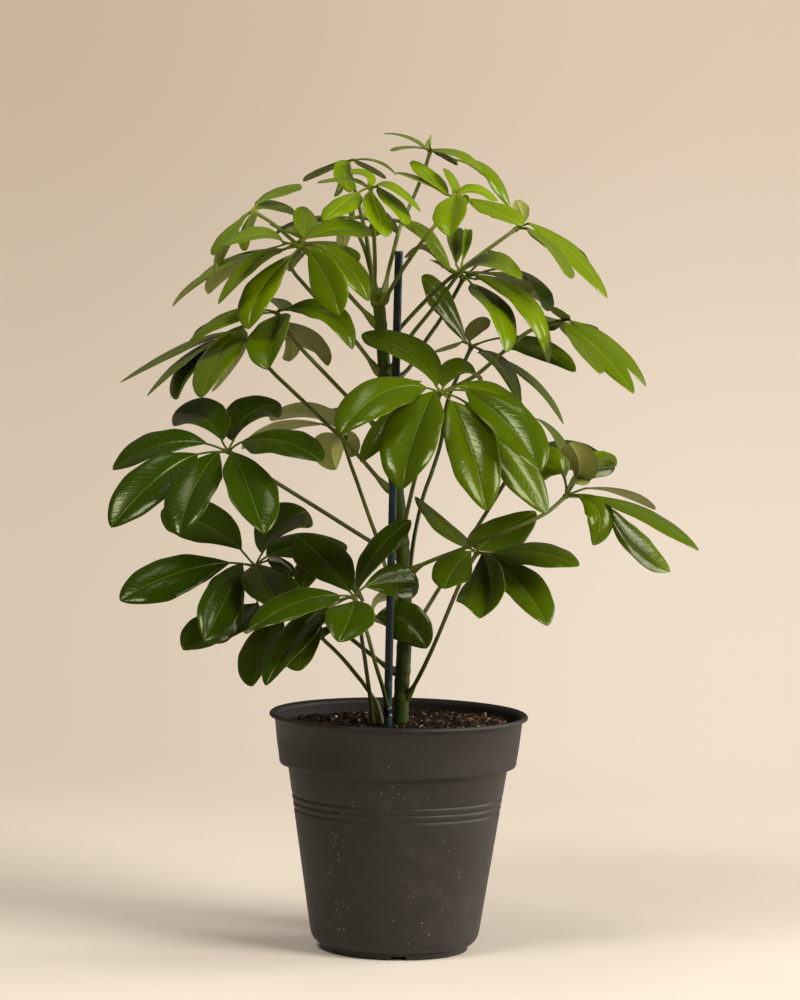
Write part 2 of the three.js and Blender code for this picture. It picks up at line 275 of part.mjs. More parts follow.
    leaflets: [
      [-89.3, -41, 517.8, -97.9, -74.2, 531.3, -131.6, -94.6, 516, 15.1, 76, -72, 0.64, 0.51, 1, 1, 0],
      [-75.4, -33.1, 521.4, -75.8, 9.2, 533.1, -72.8, 35, 541.8, 10.8, 28, -19, 0.46, 0.6, 1, 1, 0],
      [-75.5, -33.1, 520.3, -47.9, -7.8, 533.1, -26.1, 7.7, 526.6, 15.1, -60, 67, 0.58, 0.54, 1, 1, 0],
      [-68.6, -46.5, 518, -41, -55.5, 509, -27.7, -61, 477.9, 15.1, -55, 62, 0.59, 0.56, 1, 1, 0],
      [-71.7, -49, 513.5, -55.1, -80, 495.9, -46.8, -99, 469, 15.1, 36, -19, 0.64, 0.47, 1, 1, 0],
      [-82, -47.7, 510.1, -111.1, -69.9, 484.6, -112, -83.6, 457.4, 15.1, 49, -39, 0.65, 0.57, 1, 1, 0],
      [-88.6, -41, 513.2, -110.2, -62.6, 512, -134.1, -75.9, 474.2, 15.1, 73, -66, 0.56, 0.49, 1, 1, 0],
      [-77.3, -37.3, 511.8, -82.1, -17.6, 507.8, -84.6, -5.5, 497.5, 7.6, 51, -63, 0.52, 0.55, -1, 1, 0],
    ],
  },
  { // compound leaf 19
    hub: [-113.2, 1, 539.7], young: 0.86,
    stalk: [[-20.6, 3, 456.9], [-27.3, 2.8, 464.3], [-37.8, 2.6, 475.1], [-47.9, 2.4, 486.1], [-54.6, 2.2, 493.5], [-61.9, 2, 500.3], [-73.4, 1.8, 509.9], [-84.9, 1.6, 519.6], [-92.5, 1.4, 526], [-100.4, 1.2, 532.1], [-113.2, 1, 539.7]],
    leaflets: [
      [-118.2, -5.4, 536.8, -133.5, -29.7, 521.7, -138, -44.7, 509.4, 11.8, 68, -65, 0.59, 0.59, 1, 1, 0],
      [-118.8, -1.8, 534.5, -144.5, -7.7, 516.9, -139.5, -11.3, 487.5, 11.8, 84, -84, 0.56, 0.56, 1, 1, 0],
      [-121.1, 1, 535.2, -134.7, 26.6, 517.1, -137.1, 42.3, 500.4, 11.8, 72, -70, 0.59, 0.61, -1, 1, 0],
      [-113.6, -5.9, 538.3, -117.2, -36.2, 528.7, -115, -54.8, 514.1, 11.8, 59, -59, 0.56, 0.54, 1, 1, 0],
      [-110.1, 5.9, 545.1, -97.7, 34, 554, -80.1, 51.3, 559.8, 11.8, -73, 66, 0.56, 0.57, 1, 1, 0],
      [-110.1, 7.7, 541.3, -99.7, 37.7, 544.5, -85, 56, 541.3, 11.8, -66, 65, 0.46, 0.68, 1, 1, 0],
    ],
  },
  { // compound leaf 20
    hub: [31.6, -59, 552.9], young: 0.9,
    stalk: [[-16.5, -3, 476.1], [-13, -14.1, 482.8], [-7.7, -31.1, 492.8], [-2.2, -48.3, 502.5], [1.8, -59.1, 508.7], [5.7, -68.5, 514.8], [11.9, -78.1, 523.7], [18.3, -80.3, 532.2], [22.1, -77.4, 538.1], [25.6, -71.4, 544.2], [31.6, -59, 552.9]],
    leaflets: [
      [27.7, -52.7, 555, 16.3, -24.3, 566.9, 2.3, -6.9, 579.3, 12.2, 64, -64, 0.51, 0.59, 1, 1, 0],
      [27.4, -52.7, 554.5, 6, -26.1, 567.2, -8.1, -9.7, 570.1, 12.2, 81, -81, 0.56, 0.56, 1, 1, 0],
      [31.6, -54.4, 556.5, 31.5, -29.7, 563.1, 28.9, -14.5, 572.3, 9.1, 59, -53, 0.59, 0.53, 1, 1, 0],
      [35.2, -61.7, 554.1, 46.5, -52.6, 563.8, 64.1, -47, 550.9, 12.2, -69, 75, 0.45, 0.56, 1, 1, 0],
      [42.5, -59, 552.3, 62.4, -87.9, 545.8, 79.5, -105.6, 534.8, 12.2, -52, 63, 0.63, 0.52, 1, 1, 0],
      [33.5, -66, 555.1, 30.9, -97.1, 544.1, 30, -116.2, 527.1, 14, 49, -8, 0.63, 0.53, 1, 1, 0],
      [34.9, -59, 550, 45, -70.9, 554.2, 39.3, -78.1, 545.5, 4.9, 75, -26, 0.55, 0.56, 1, 1, 0],
    ],
  },
  { // compound leaf 21
    hub: [15.4, 30, 586.1], young: 1,
    stalk: [[-17.3, 1, 477.5], [-15.8, 3.3, 486.4], [-13.3, 4.1, 499.8], [-10, -3.8, 513.3], [-8, 9.7, 521.9], [-5.5, 14.9, 530.6], [-0.1, 18.4, 543.1], [5.2, 21.9, 555.8], [8.4, 24.2, 564.3], [11.6, 26.5, 572.9], [15.4, 30, 586.1]],
    leaflets: [
      [13.5, 37, 586.4, -1.5, 63.8, 598.3, -19.1, 80.2, 598.1, 11.8, 84, -84, 0.56, 0.56, 1, 1, 0],
      [12.7, 23.3, 587.5, 0.5, -8.1, 589.4, -9.8, -27.4, 585.7, 11.8, 84, -84, 0.56, 0.56, 1, 1, 0],
      [15.2, 26.5, 587.2, 14.5, 11.5, 591.2, 13.9, 2.3, 595.4, 5.9, -42, 68, 0.61, 0.53, -1, 1, 0],
      [14.9, 22.9, 586.6, 34.7, -1.2, 587.4, 51.4, -15.9, 572.6, 11.8, -71, 79, 0.55, 0.54, 1, 1, 0],
      [17.5, 26.6, 586.5, 25.9, 8.5, 582.6, 33.6, -2.6, 576.1, 7.1, -68, 71, 0.56, 0.56, 1, 1, 0],
      [33.7, 30, 579.1, 63.5, 24.1, 583.7, 74.8, 20.5, 545.3, 11.8, -82, 54, 0.58, 0.68, 1, 1, 0],
    ],
  },
  { // compound leaf 22
    hub: [-27.5, -54, 558.9], young: 0.92,
    stalk: [[-23.6, -5, 484.1], [-23.6, -8.9, 490.2], [-23.5, -14.8, 499.3], [-23.7, -20.7, 508.4], [-24, -24.6, 514.4], [-24.3, -28.5, 520.4], [-24.7, -34.4, 529.4], [-25.2, -40.3, 538.3], [-25.7, -44.2, 544.2], [-26.4, -48.1, 550.1], [-27.5, -54, 558.9]],
    leaflets: [
      [-29.4, -47.3, 559.1, -44.2, -24.5, 567.1, -67.4, -10.6, 561.4, 11.3, 81, -81, 0.56, 0.56, 1, 1, 0],
      [-29.2, -49.6, 560.5, -27.1, -30, 568.6, -42.9, -18, 571.1, 7.9, 65, -59, 0.57, 0.54, 1, 1, 0],
      [-35.6, -54, 555.5, -43.8, -80.9, 551, -59.3, -97.4, 536, 11.3, 39, -53, 0.5, 0.63, 1, 1, 0],
      [-27.4, -60.7, 557, -22.9, -85.4, 541.8, -16.3, -100.5, 525.3, 11.3, -44, 44, 0.62, 0.51, 1, 1, 0],
      [-22.5, -59.4, 559.8, -8, -86.1, 548.6, -2.8, -102.5, 534.6, 11.3, -59, 62, 0.63, 0.5, 1, 1, 0],
      [-25.4, -60.7, 558.6, -15.6, -81.1, 568.2, 8.5, -93.6, 542.6, 11.3, -73, 78, 0.56, 0.54, 1, 1, 0],
    ],
  },
  { // compound leaf 23
    hub: [-45.2, 44, 576.5], young: 0.99,
    stalk: [[-23.2, 1.5, 482.4], [-24.7, 4.9, 489.9], [-26.8, 10, 501.3], [-28.8, 15.1, 512.6], [-30.1, 18.5, 520.2], [-31.8, 21.9, 527.8], [-34.8, 27, 539], [-38, 32.1, 550.2], [-40.2, 35.5, 557.6], [-42.3, 38.9, 565.1], [-45.2, 44, 576.5]],
    leaflets: [
      [-51.5, 48.1, 577.1, -63.5, 72.2, 570.1, -77.1, 86.9, 561.7, 10.5, 74, -71, 0.53, 0.59, -1, 1, 0],
      [-44.4, 37.9, 574.5, -50.6, 9.9, 568.7, -43.8, -7.3, 555.4, 10.5, -42, 46, 0.57, 0.52, 1, 1, 0],
      [-39.4, 47.8, 578, -29.8, 74.9, 573.6, -19.5, 91.5, 565, 10.5, -77, 71, 0.56, 0.58, -1, 1, 0],
      [-42.2, 38, 578, -25.1, 17.5, 582, -9.9, 4.9, 568.5, 10.5, -85, 85, 0.56, 0.56, 1, 1, 0],
      [-49.2, 44, 572.3, -47.3, 31.1, 561.4, -54.4, 23.3, 551.9, 6.3, -62, 66, 0.58, 0.55, 1, 1, 0],
    ],
  },
  { // compound leaf 24
    hub: [-41.3, 50, 535.2], young: 0.84,
    stalk: [[-24.7, 7, 481.5], [-25.1, 9.6, 486], [-25.8, 13.5, 492.7], [-27.4, 17.3, 499.3], [-28.6, 20, 503.7], [-29.8, 22.8, 508], [-32.2, 27.6, 514.4], [-35.1, 33.3, 520.5], [-36.9, 37.7, 524.7], [-38.7, 42.4, 528.9], [-41.3, 50, 535.2]],
    leaflets: [
      [-40.2, 53.8, 537.6, -40.4, 72.7, 538.9, -42.9, 84.3, 552.1, 7.3, -53, 68, 0.56, 0.55, 1, 1, 0],
      [-34.2, 50, 536.7, -24.9, 68.9, 544.3, -6.8, 80.5, 523.1, 9.7, -58, 62, 0.55, 0.55, -1, 1, 0],
      [-43.3, 55, 533, -48.8, 76.1, 530.4, -47.9, 89.1, 509.3, 9.1, 49, -56, 0.57, 0.55, -1, 1, 0],
      [-47.1, 56.5, 535.5, -65.8, 77.6, 537.3, -82.8, 99.6, 522.7, 12.2, 9, 9, 0.56, 0.56, 1, 1, 1],
      [-49.6, 48.2, 535.2, -76.3, 43.5, 537.4, -100.5, 37.2, 520.4, 12.2, 9, 9, 0.56, 0.56, 1, 1, 1],
      [-32.9, 48.2, 535.1, -4.9, 43.1, 536.4, 20.8, 36.8, 522.5, 12.2, 9, 9, 0.56, 0.56, 1, 1, 1],
      [-34.6, 50, 534.7, -24.8, 50.8, 536.4, -26, 51.7, 521, 12.2, 9, 9, 0.56, 0.56, 1, 1, 1],
    ],
  },
  { // compound leaf 25
    hub: [-81.7, 45, 515.7], young: 0.77,
    stalk: [[-25.4, 9, 479.2], [-26, 16.5, 485.1], [-29.1, 28, 493.1], [-34.6, 39.7, 500.3], [-38.7, 47, 504.7], [-43.4, 53.3, 508.6], [-51.3, 59.7, 512.8], [-60.5, 60.8, 514.5], [-66.6, 58.5, 515.3], [-72.7, 54.1, 515.4], [-81.7, 45, 515.7]],
    leaflets: [
      [-91.4, 67.3, 514.7, -155.8, 77, 495.2, -174.7, 82.6, 466.1, 18.5, 82, -82, 0.55, 0.54, -1, 1, 0],
      [-101.5, 45.3, 507.3, -138.2, 35.5, 508.2, -160.7, 30.2, 479.2, 18.5, 82, -82, 0.57, 0.55, 1, 1, 0],
      [-90, 53.2, 511.1, -134, 80.7, 506.3, -148, 97.6, 475.8, 18.5, 70, -67, 0.57, 0.6, -1, 1, 0],
      [-77.9, 57.2, 516, -63.9, 98.5, 518.2, -51.9, 135.1, 496.3, 18.5, 9, 9, 0.56, 0.56, 1, 1, 1],
      [-70.6, 44.7, 515.8, -49.6, 43.9, 516.7, -38.1, 44.1, 499.2, 15.7, 9, 9, 0.56, 0.56, 1, 1, 1],
      [-78.7, 57.2, 518.6, -88, 77.8, 528.6, -95.7, 100.2, 526.4, 15.7, 9, 9, 0.56, 0.56, 1, 1, 1],
      [-73.3, 35.3, 516.3, -52.8, 12.7, 515.7, -36.4, -6.8, 505, 12.9, 9, 9, 0.56, 0.56, 1, 1, 1],
    ],
  },
];

// ---------------------------------------------------------------- solids
const wasm = await Module();
wasm.setup();
const { Manifold, Mesh } = wasm;

function toSolid(geometry) {
  const g = geometry.index ? geometry.toNonIndexed() : geometry.clone();
  g.deleteAttribute("normal");
  g.deleteAttribute("uv");
  const m = mergeVertices(g, 1e-3);
  const ix = m.index.array, keep = [];
  for (let i = 0; i < ix.length; i += 3)
    if (ix[i] !== ix[i + 1] && ix[i + 1] !== ix[i + 2] && ix[i] !== ix[i + 2]) keep.push(ix[i], ix[i + 1], ix[i + 2]);
  const build = (tri) => new Manifold(new Mesh({ numProp: 3, vertProperties: m.attributes.position.array, triVerts: new Uint32Array(tri) }));
  let s = build(keep);
  if (s.volume() < 0) {
    const flip = [];
    for (let i = 0; i < keep.length; i += 3) flip.push(keep[i], keep[i + 2], keep[i + 1]);
    s = build(flip);
  }
  return s;
}

function toGeometry(solid) {
  const m = solid.getMesh();
  const p = new Float32Array((m.vertProperties.length / m.numProp) * 3);
  for (let i = 0; i < p.length / 3; i++) for (let k = 0; k < 3; k++) p[3 * i + k] = m.vertProperties[i * m.numProp + k];
  const g = new THREE.BufferGeometry();
  g.setAttribute("position", new THREE.BufferAttribute(p, 3));
  g.setIndex(Array.from(m.triVerts));
  g.computeVertexNormals();
  return g;
}

function largest(solid) {
  const parts = solid.decompose();
  if (parts.length < 2) return solid;
  return parts.reduce((a, b) => (b.volume() > a.volume() ? b : a));
}

// Joins and cuts leave needle-thin triangles. Short edges are closed up and thin
// triangles are swapped across their longest edge, which moves the skin by less than tol.
function tidy(solid, tol = 0.1) {
  const m = solid.getMesh(), P = [];
  for (let i = 0; i < m.vertProperties.length / m.numProp; i++) P.push(new THREE.Vector3().fromArray(m.vertProperties, i * m.numProp));
  let T = [];
  for (let i = 0; i < m.triVerts.length; i += 3) T.push([m.triVerts[i], m.triVerts[i + 1], m.triVerts[i + 2]]);
  const dead = new Set();
  for (let pass = 0; pass < 4000; pass++) {
    let found = null;
    for (let i = 0; i < T.length && !found; i++) {
      const [a, b, c] = T[i].map((v) => P[v]);
      const L = [a.distanceTo(b), b.distanceTo(c), c.distanceTo(a)];
      const area2 = new THREE.Vector3().crossVectors(b.clone().sub(a), c.clone().sub(a)).length();
      if (area2 / Math.max(...L) < tol && !dead.has(T[i].join())) found = { i, L };
    }
    if (!found) break;
    const { i, L } = found, t = T[i], s = L.indexOf(Math.min(...L)), l = L.indexOf(Math.max(...L));
    const link = (v) => new Set(T.filter((q) => q.includes(v)).flat().filter((w) => w !== v));
    let done = false;
    const [u, v] = [t[s], t[(s + 1) % 3]], lu = link(u), lv = link(v);
    if (L[s] < tol * 2.5 && [...lu].filter((w) => lv.has(w)).length === 2) {
      T = T.map((q) => q.map((w) => (w === v ? u : w))).filter((q) => q[0] !== q[1] && q[1] !== q[2] && q[0] !== q[2]);
      done = true;
    } else {
      const [p, q, r] = [t[l], t[(l + 1) % 3], t[(l + 2) % 3]];
      const j = T.findIndex((w, k) => k !== i && w.includes(p) && w.includes(q));
      const o = j < 0 ? -1 : T[j].find((w) => w !== p && w !== q);
      if (j >= 0 && o !== r && !T.some((w) => w.includes(o) && w.includes(r))) {
        T[i] = [p, o, r];
        T[j] = [o, q, r];
        done = true;
      }
    }
    if (!done) dead.add(T[i].join());
  }
  // A vertex shared by two separate fans of triangles is split, and near-coincident
  // vertices are moved a little apart, so that the skin nowhere touches itself.
  for (const v of new Set(T.flat())) {
    let fan = T.filter((q) => q.includes(v)), first = true;
    while (fan.length) {
      const group = [fan.pop()];
      for (let grew = true; grew; ) {
        grew = false;
        fan = fan.filter((q) => {
          if (group.some((w) => w.filter((x) => x !== v && q.includes(x)).length)) { group.push(q); grew = true; return false; }
          return true;
        });
      }
      if (!first) { P.push(P[v].clone()); group.forEach((q) => (q[q.indexOf(v)] = P.length - 1)); }
      first = false;
    }
  }
  const ids = [...new Set(T.flat())];
  ids.forEach((v, i) => ids.slice(i + 1).forEach((w) => {
    if (P[v].distanceTo(P[w]) > 0.03) return;
    const near = T.filter((q) => q.includes(w)).flat().filter((x) => x !== w);
    const mid = near.reduce((c, x) => c.add(P[x]), new THREE.Vector3()).divideScalar(near.length);
    P[w].add(mid.sub(P[w]).setLength(0.1));
  }));
  const used = new Map(), pos = [], tri = [];
  for (const q of T) for (const w of q) {
    if (!used.has(w)) { used.set(w, pos.length / 3); pos.push(P[w].x, P[w].y, P[w].z); }
    tri.push(used.get(w));
  }
  try {
    const out = new Manifold(new Mesh({ numProp: 3, vertProperties: new Float32Array(pos), triVerts: new Uint32Array(tri) }));
    const v0 = solid.volume(), v1 = out.volume();
    return Math.abs(v1 - v0) < 0.004 * v0 && out.decompose().length === 1 ? out : solid;
  } catch {
    return solid;
  }
}

// A closed skin through rings of equal vertex count; an end may be a single point. With
// mirrored set, neighbouring strips are split the opposite way, so that the upper and lower
// skin of a thin blade run parallel.
function loft(rings, mirrored = false) {
  const pos = [], idx = [], start = [];
  for (const r of rings) { start.push(pos.length / 3); for (const v of r) pos.push(v.x, v.y, v.z); }
  for (let i = 0; i < rings.length - 1; i++) {
    const n = Math.max(rings[i].length, rings[i + 1].length);
    for (let j = 0; j < n; j++) {
      const k = (j + 1) % n, a = start[i], b = start[i + 1];
      if (rings[i].length === 1) idx.push(a, b + k, b + j);
      else if (rings[i + 1].length === 1) idx.push(a + j, a + k, b);
      else if (mirrored && j % 2) idx.push(a + j, a + k, b + j, a + k, b + k, b + j);
      else idx.push(a + j, a + k, b + k, a + j, b + k, b + j);
    }
  }
  const cap = (ring, base, flip) => { for (let j = 1; j < ring.length - 1; j++) flip ? idx.push(base, base + j + 1, base + j) : idx.push(base, base + j, base + j + 1); };
  if (rings[0].length > 2) cap(rings[0], start[0], true);
  if (rings[rings.length - 1].length > 2) cap(rings[rings.length - 1], start[rings.length - 1], false);
  const g = new THREE.BufferGeometry();
  g.setAttribute("position", new THREE.Float32BufferAttribute(pos, 3));
  g.setIndex(idx);
  return g;
}

const V = (a) => new THREE.Vector3(a[0], a[1], a[2]);

// Tube of changing radius through points, with sides corners.
function tube(points, radiusAt, sides, steps) {
  const curve = points.length > 2 ? new THREE.CatmullRomCurve3(points) : new THREE.LineCurve3(points[0], points[1]);
  const rings = [];
  let up = new THREE.Vector3(0, 1, 0);
  for (let i = 0; i <= steps; i++) {
    const t = i / steps, c = curve.getPointAt(t), d = curve.getTangentAt(t).normalize();
    const a = new THREE.Vector3().crossVectors(d, up);
    if (a.lengthSq() < 1e-4) a.crossVectors(d, new THREE.Vector3(1, 0, 0));
    a.normalize();
    const b = new THREE.Vector3().crossVectors(a, d).normalize();
    up = b.clone();
    const r = radiusAt(t, c), ring = [];
    for (let j = 0; j < sides; j++) {
      const w = (2 * Math.PI * j) / sides;
      ring.push(c.clone().addScaledVector(a, r * Math.cos(w)).addScaledVector(b, r * Math.sin(w)));
    }
    rings.push(ring);
  }
  return toSolid(loft(rings));
}

// ---------------------------------------------------------------- leaflets
const REF = [new THREE.Vector3(0, 1, 0), new THREE.Vector3(0, 0, -1)];
const widthAt = (t, peak) => {
  if (t < peak) return Math.pow(Math.sin((Math.PI / 2) * (t / peak)), 0.9);
  const s = (t - peak) / (1 - peak);
  return Math.pow(Math.max(0, 1 - Math.pow(s, 2.2)), 0.7);
};

function leaflet(hub, row, grow) {
  const [P0, P1, P2] = [row.slice(0, 3), row.slice(3, 6), row.slice(6, 9)].map(V);
  const [half, al, ar, pl, pr, u, es, ref] = row.slice(9);
  const curve = new THREE.QuadraticBezierCurve3(P0, P1, P2);
  const rings = [];
  const d0 = P0.clone().sub(hub).normalize();
  const T0 = curve.getTangent(0).normalize();
  const E0 = new THREE.Vector3().crossVectors(T0, REF[ref]).normalize();
  const nrm0 = new THREE.Vector3().crossVectors(T0, E0).addScaledVector(d0, -new THREE.Vector3().crossVectors(T0, E0).dot(d0)).normalize();
  const side0 = new THREE.Vector3().crossVectors(nrm0, d0).normalize();
  if (side0.dot(E0) < 0) side0.negate();
  const q = 0.45 + grow;
  const diamond = (c, E, N, l, r, tl, tr, th) => [
    c.clone().addScaledVector(E, l).addScaledVector(N, tl),
    c.clone().addScaledVector(N, th),
    c.clone().addScaledVector(E, -r).addScaledVector(N, tr),
    c.clone().addScaledVector(N, -th),
  ];
  rings.push(diamond(hub, side0.clone().multiplyScalar(es), nrm0.clone().multiplyScalar(u), q, q, 0, 0, q));
  for (const t of [0, 0.28, 0.62, 0.9]) {
    const c = curve.getPoint(t), T = curve.getTangent(t).normalize();
    const E = new THREE.Vector3().crossVectors(T, REF[ref]).normalize();
    const N = new THREE.Vector3().crossVectors(T, E).normalize().multiplyScalar(u);
    E.multiplyScalar(es);
    const wl = Math.max(half * widthAt(t, pl), PETIOLULE_R) + grow, wr = Math.max(half * widthAt(t, pr), PETIOLULE_R) + grow;
    const A = (al * Math.PI) / 180, B = (ar * Math.PI) / 180;
    const th = (t === 0 ? PETIOLULE_R : BLADE_T * 0.5) + grow;
    rings.push(diamond(c, E, N, wl * Math.cos(A), wr * Math.cos(B), wl * Math.sin(A), wr * Math.sin(B), th));
  }
  rings.push([curve.getPoint(1).addScaledVector(curve.getTangent(1).normalize(), grow)]);
  return toSolid(loft(rings, true));
}

function whorl(leaf, grow) {
  const hub = V(leaf.hub);
  let s = toSolid(new THREE.IcosahedronGeometry(HUB_R + grow, 0).translate(hub.x, hub.y, hub.z));
  for (const row of leaf.leaflets) s = s.add(leaflet(hub, row, grow));
  return largest(s);
}

function stalk(leaf, grow) {
  const pts = leaf.stalk.map(V);
  const len = pts.slice(1).reduce((a, p, i) => a + p.distanceTo(pts[i]), 0);
  return tube(pts, (t) => grow + STALK_R + (SHEATH_R - STALK_R) * Math.max(0, 1 - (t * len) / 16), 5, Math.max(4, Math.round(len / 26)));
}

// ---------------------------------------------------------------- stem, stake, pot, mix
const stemR = (z) => THREE.MathUtils.lerp(STEM_BASE_R, STEM_TOP_R, THREE.MathUtils.clamp((z - 170) / 310, 0, 1));
const stem = (grow) => tube(STEM_AXIS.map(V), (t, c) => grow + stemR(c.z) * (t > 0.985 ? 0.72 : 1), 10, 13);
const stake = (grow) => {
  const pts = STAKE_AXIS.map(V);
  const rings = pts.map((p) => Array.from({ length: 12 }, (_, j) => new THREE.Vector3(p.x + (STAKE_R + grow) * Math.cos((j * Math.PI) / 6), p.y + (STAKE_R + grow) * Math.sin((j * Math.PI) / 6), p.z)));
  if (grow) { rings[0].forEach((v) => (v.z -= grow)); rings[rings.length - 1].forEach((v) => (v.z += grow)); }
  return toSolid(loft(rings));
};

const bodyR = (z) => BODY_FOOT_R + ((BODY_TOP_R - BODY_FOOT_R) * (z - 12)) / (134 - 12);
function pot() {
  const p = [
    [0, 0], [PAD_R, 0], [PAD_R + 1, BASE_Z],
    [FOOT_R_IN - 0.5, BASE_Z], [FOOT_R_IN, 0], [FOOT_R_OUT - 0.4, 0], [FOOT_R_OUT, 4.2],
    [57.2, 5.2], [60.2, 8], [BODY_FOOT_R, 12],
    [bodyR(102.6), 102.6], [bodyR(104.4) - 0.8, 104.4], [bodyR(106.6), 106.6],
    [bodyR(107.8), 107.8], [bodyR(109.6) - 0.8, 109.6], [bodyR(111.8), 111.8],
    [bodyR(113), 113], [bodyR(114.8) - 0.8, 114.8], [bodyR(117), 117],
    [BODY_TOP_R, STEP_Z - 2], [86.6, STEP_Z + 0.8], [COLLAR_FOOT_R, STEP_Z + 3],
    [COLLAR_TOP_R, 170.4], [POT_RIM_R - 0.9, 171.1], [POT_RIM_R, 172.5], [POT_RIM_R - 1.8, POT_H],
    [COLLAR_TOP_R - 0.2, POT_H - 0.7], [COLLAR_TOP_R - WALL - 0.3, 170.2],
    [COLLAR_FOOT_R - WALL, STEP_Z + 2.7], [83.9, STEP_Z + 1], [BODY_TOP_R - WALL, STEP_Z - 1.6],
    [BODY_FOOT_R - WALL, 12.6], [55.6, BASE_Z + 1.8], [0, BASE_Z + 1.8],
  ].map((a) => new THREE.Vector2(a[0], a[1]));
  let s = toSolid(new THREE.LatheGeometry(p, 32).rotateX(Math.PI / 2));
  for (let i = 0; i < 4; i++) {
    const a = (i * Math.PI) / 2 + Math.PI / 4;
    s = s.subtract(toSolid(new THREE.CylinderGeometry(DRAIN_R, DRAIN_R, 6, 8).rotateX(Math.PI / 2).translate(36 * Math.cos(a), 36 * Math.sin(a), BASE_Z + 1)));
    const b = (i * Math.PI) / 2 - Math.PI / 2 + 0.06;
    s = s.subtract(toSolid(new THREE.BoxGeometry(16, NOTCH_W, NOTCH_H * 2).rotateZ(b).translate(53 * Math.cos(b), 53 * Math.sin(b), 0)));
  }
  return s;
}

// Height of the potting mix, level on the left and mounded on the right and round the stem.
const soilZ = (x, y) => SOIL_Z + SOIL_MOUND * Math.exp(-((x - 45) ** 2 + (y - 25) ** 2) / 1800) + 1.2 * Math.exp(-(x * x + y * y) / 500);
function soil(grow) {
  const n = 32, rings = [], ring = (r, zf) => Array.from({ length: n }, (_, j) => { const a = (2 * Math.PI * j) / n, x = r * Math.cos(a), y = r * Math.sin(a); return new THREE.Vector3(x, y, zf(x, y)); });
  const flat = (z) => () => z;
  rings.push([new THREE.Vector3(0, 0, BASE_Z + 1.8 + GAP)]);
  rings.push(ring(54.8, flat(BASE_Z + 1.8 + GAP)), ring(BODY_FOOT_R - WALL - 0.5, flat(13)));
  rings.push(ring(BODY_TOP_R - WALL - 0.45, flat(STEP_Z - 1.4)), ring(82.9, flat(STEP_Z + 1.5)), ring(COLLAR_FOOT_R - WALL - 0.5, flat(STEP_Z + 3.4)));
  const top = (r) => ring(r, (x, y) => soilZ(x, y) + grow);
  rings.push(top(87.2), top(60), top(28), [new THREE.Vector3(0, 0, soilZ(0, 0) + grow)]);
  return toSolid(loft(rings));
}

// ---------------------------------------------------------------- assembly
const group = new THREE.Group();
const put = (name, solid, color, roughness, metalness = 0) => {
  const mesh = new THREE.Mesh(toGeometry(tidy(solid)), new THREE.MeshStandardMaterial({ color, roughness, metalness }));
  mesh.name = name;
  group.add(mesh);
};

const stemSolid = stem(0), stakeSolid = stake(0);
const clearance = stem(GAP).add(stake(GAP));
put("nursery_pot", pot(), COLOR.pot, 0.62);
put("potting_mix", soil(0).subtract(clearance), COLOR.soil, 0.95);
put("main_stem", stemSolid, COLOR.stem, 0.7);
put("support_stake", stakeSolid, COLOR.stake, 0.35);

// Leaves are placed from the base of the stem upwards. Where a stalk meets the stem, the
// stake, the mix or a piece placed before it, it is cut back by the air gap.
const placed = [];
const boxesMeet = (a, b) => [0, 1, 2].every((k) => a.min[k] <= b.max[k] + GAP && b.min[k] <= a.max[k] + GAP);
function settle(make, others) {
  let s = make(0);
  for (const o of others) {
    if (!boxesMeet(s.boundingBox(), o.box)) continue;
    const grown = o.grown();
    if (s.intersect(grown).volume() > 1e-4) s = largest(s.subtract(grown));
  }
  return s;
}
const entry = (name, solid, grown) => ({ name, solid, box: solid.boundingBox(), grown });
const base = [
  entry("main_stem", stemSolid, () => stem(GAP)),
  entry("support_stake", stakeSolid, () => stake(GAP)),
  entry("potting_mix", soil(0), () => soil(GAP)),
];
LEAVES.forEach((leaf, i) => {
  const id = String(i + 1).padStart(2, "0");
  const blades = settle((g) => whorl(leaf, g), [...base, ...placed]);
  const whorlEntry = entry("leaf_" + id, blades, () => whorl(leaf, GAP));
  placed.push(whorlEntry);
  leaf.solids = [id, blades];
});
LEAVES.forEach((leaf) => {
  const [id, blades] = leaf.solids;
  const s = settle((g) => stalk(leaf, g), [...base, ...placed]);
  placed.push(entry("leaf_stalk_" + id, s, () => stalk(leaf, GAP)));
  put("leaf_stalk_" + id, s, COLOR.stalk, 0.55);
  put("leaf_" + id, blades, new THREE.Color(COLOR.leafDark).lerp(new THREE.Color(COLOR.leafLight), leaf.young).getHex(), 0.4);
});

export default group;
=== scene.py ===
"""Potted umbrella plant: fine meshes, procedural materials, camera and light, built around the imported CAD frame.
Lengths in the tables are millimetres in the frame of the CAD model, and meshes are written in metres."""

import math

import bpy
import numpy as np
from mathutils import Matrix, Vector, noise


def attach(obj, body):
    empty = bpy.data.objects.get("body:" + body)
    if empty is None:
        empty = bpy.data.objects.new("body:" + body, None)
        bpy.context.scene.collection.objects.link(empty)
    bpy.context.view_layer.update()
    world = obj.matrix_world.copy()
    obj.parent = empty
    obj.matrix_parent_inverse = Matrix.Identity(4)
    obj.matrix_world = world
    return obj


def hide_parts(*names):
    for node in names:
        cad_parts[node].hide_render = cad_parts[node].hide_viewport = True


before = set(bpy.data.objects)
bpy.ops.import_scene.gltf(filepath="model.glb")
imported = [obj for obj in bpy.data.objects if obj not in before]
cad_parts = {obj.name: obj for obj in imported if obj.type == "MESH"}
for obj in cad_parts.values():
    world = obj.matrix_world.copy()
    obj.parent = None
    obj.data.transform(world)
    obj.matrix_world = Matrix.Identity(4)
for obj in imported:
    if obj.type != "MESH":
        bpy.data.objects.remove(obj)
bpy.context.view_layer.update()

MM = 0.001
GAP = 0.32

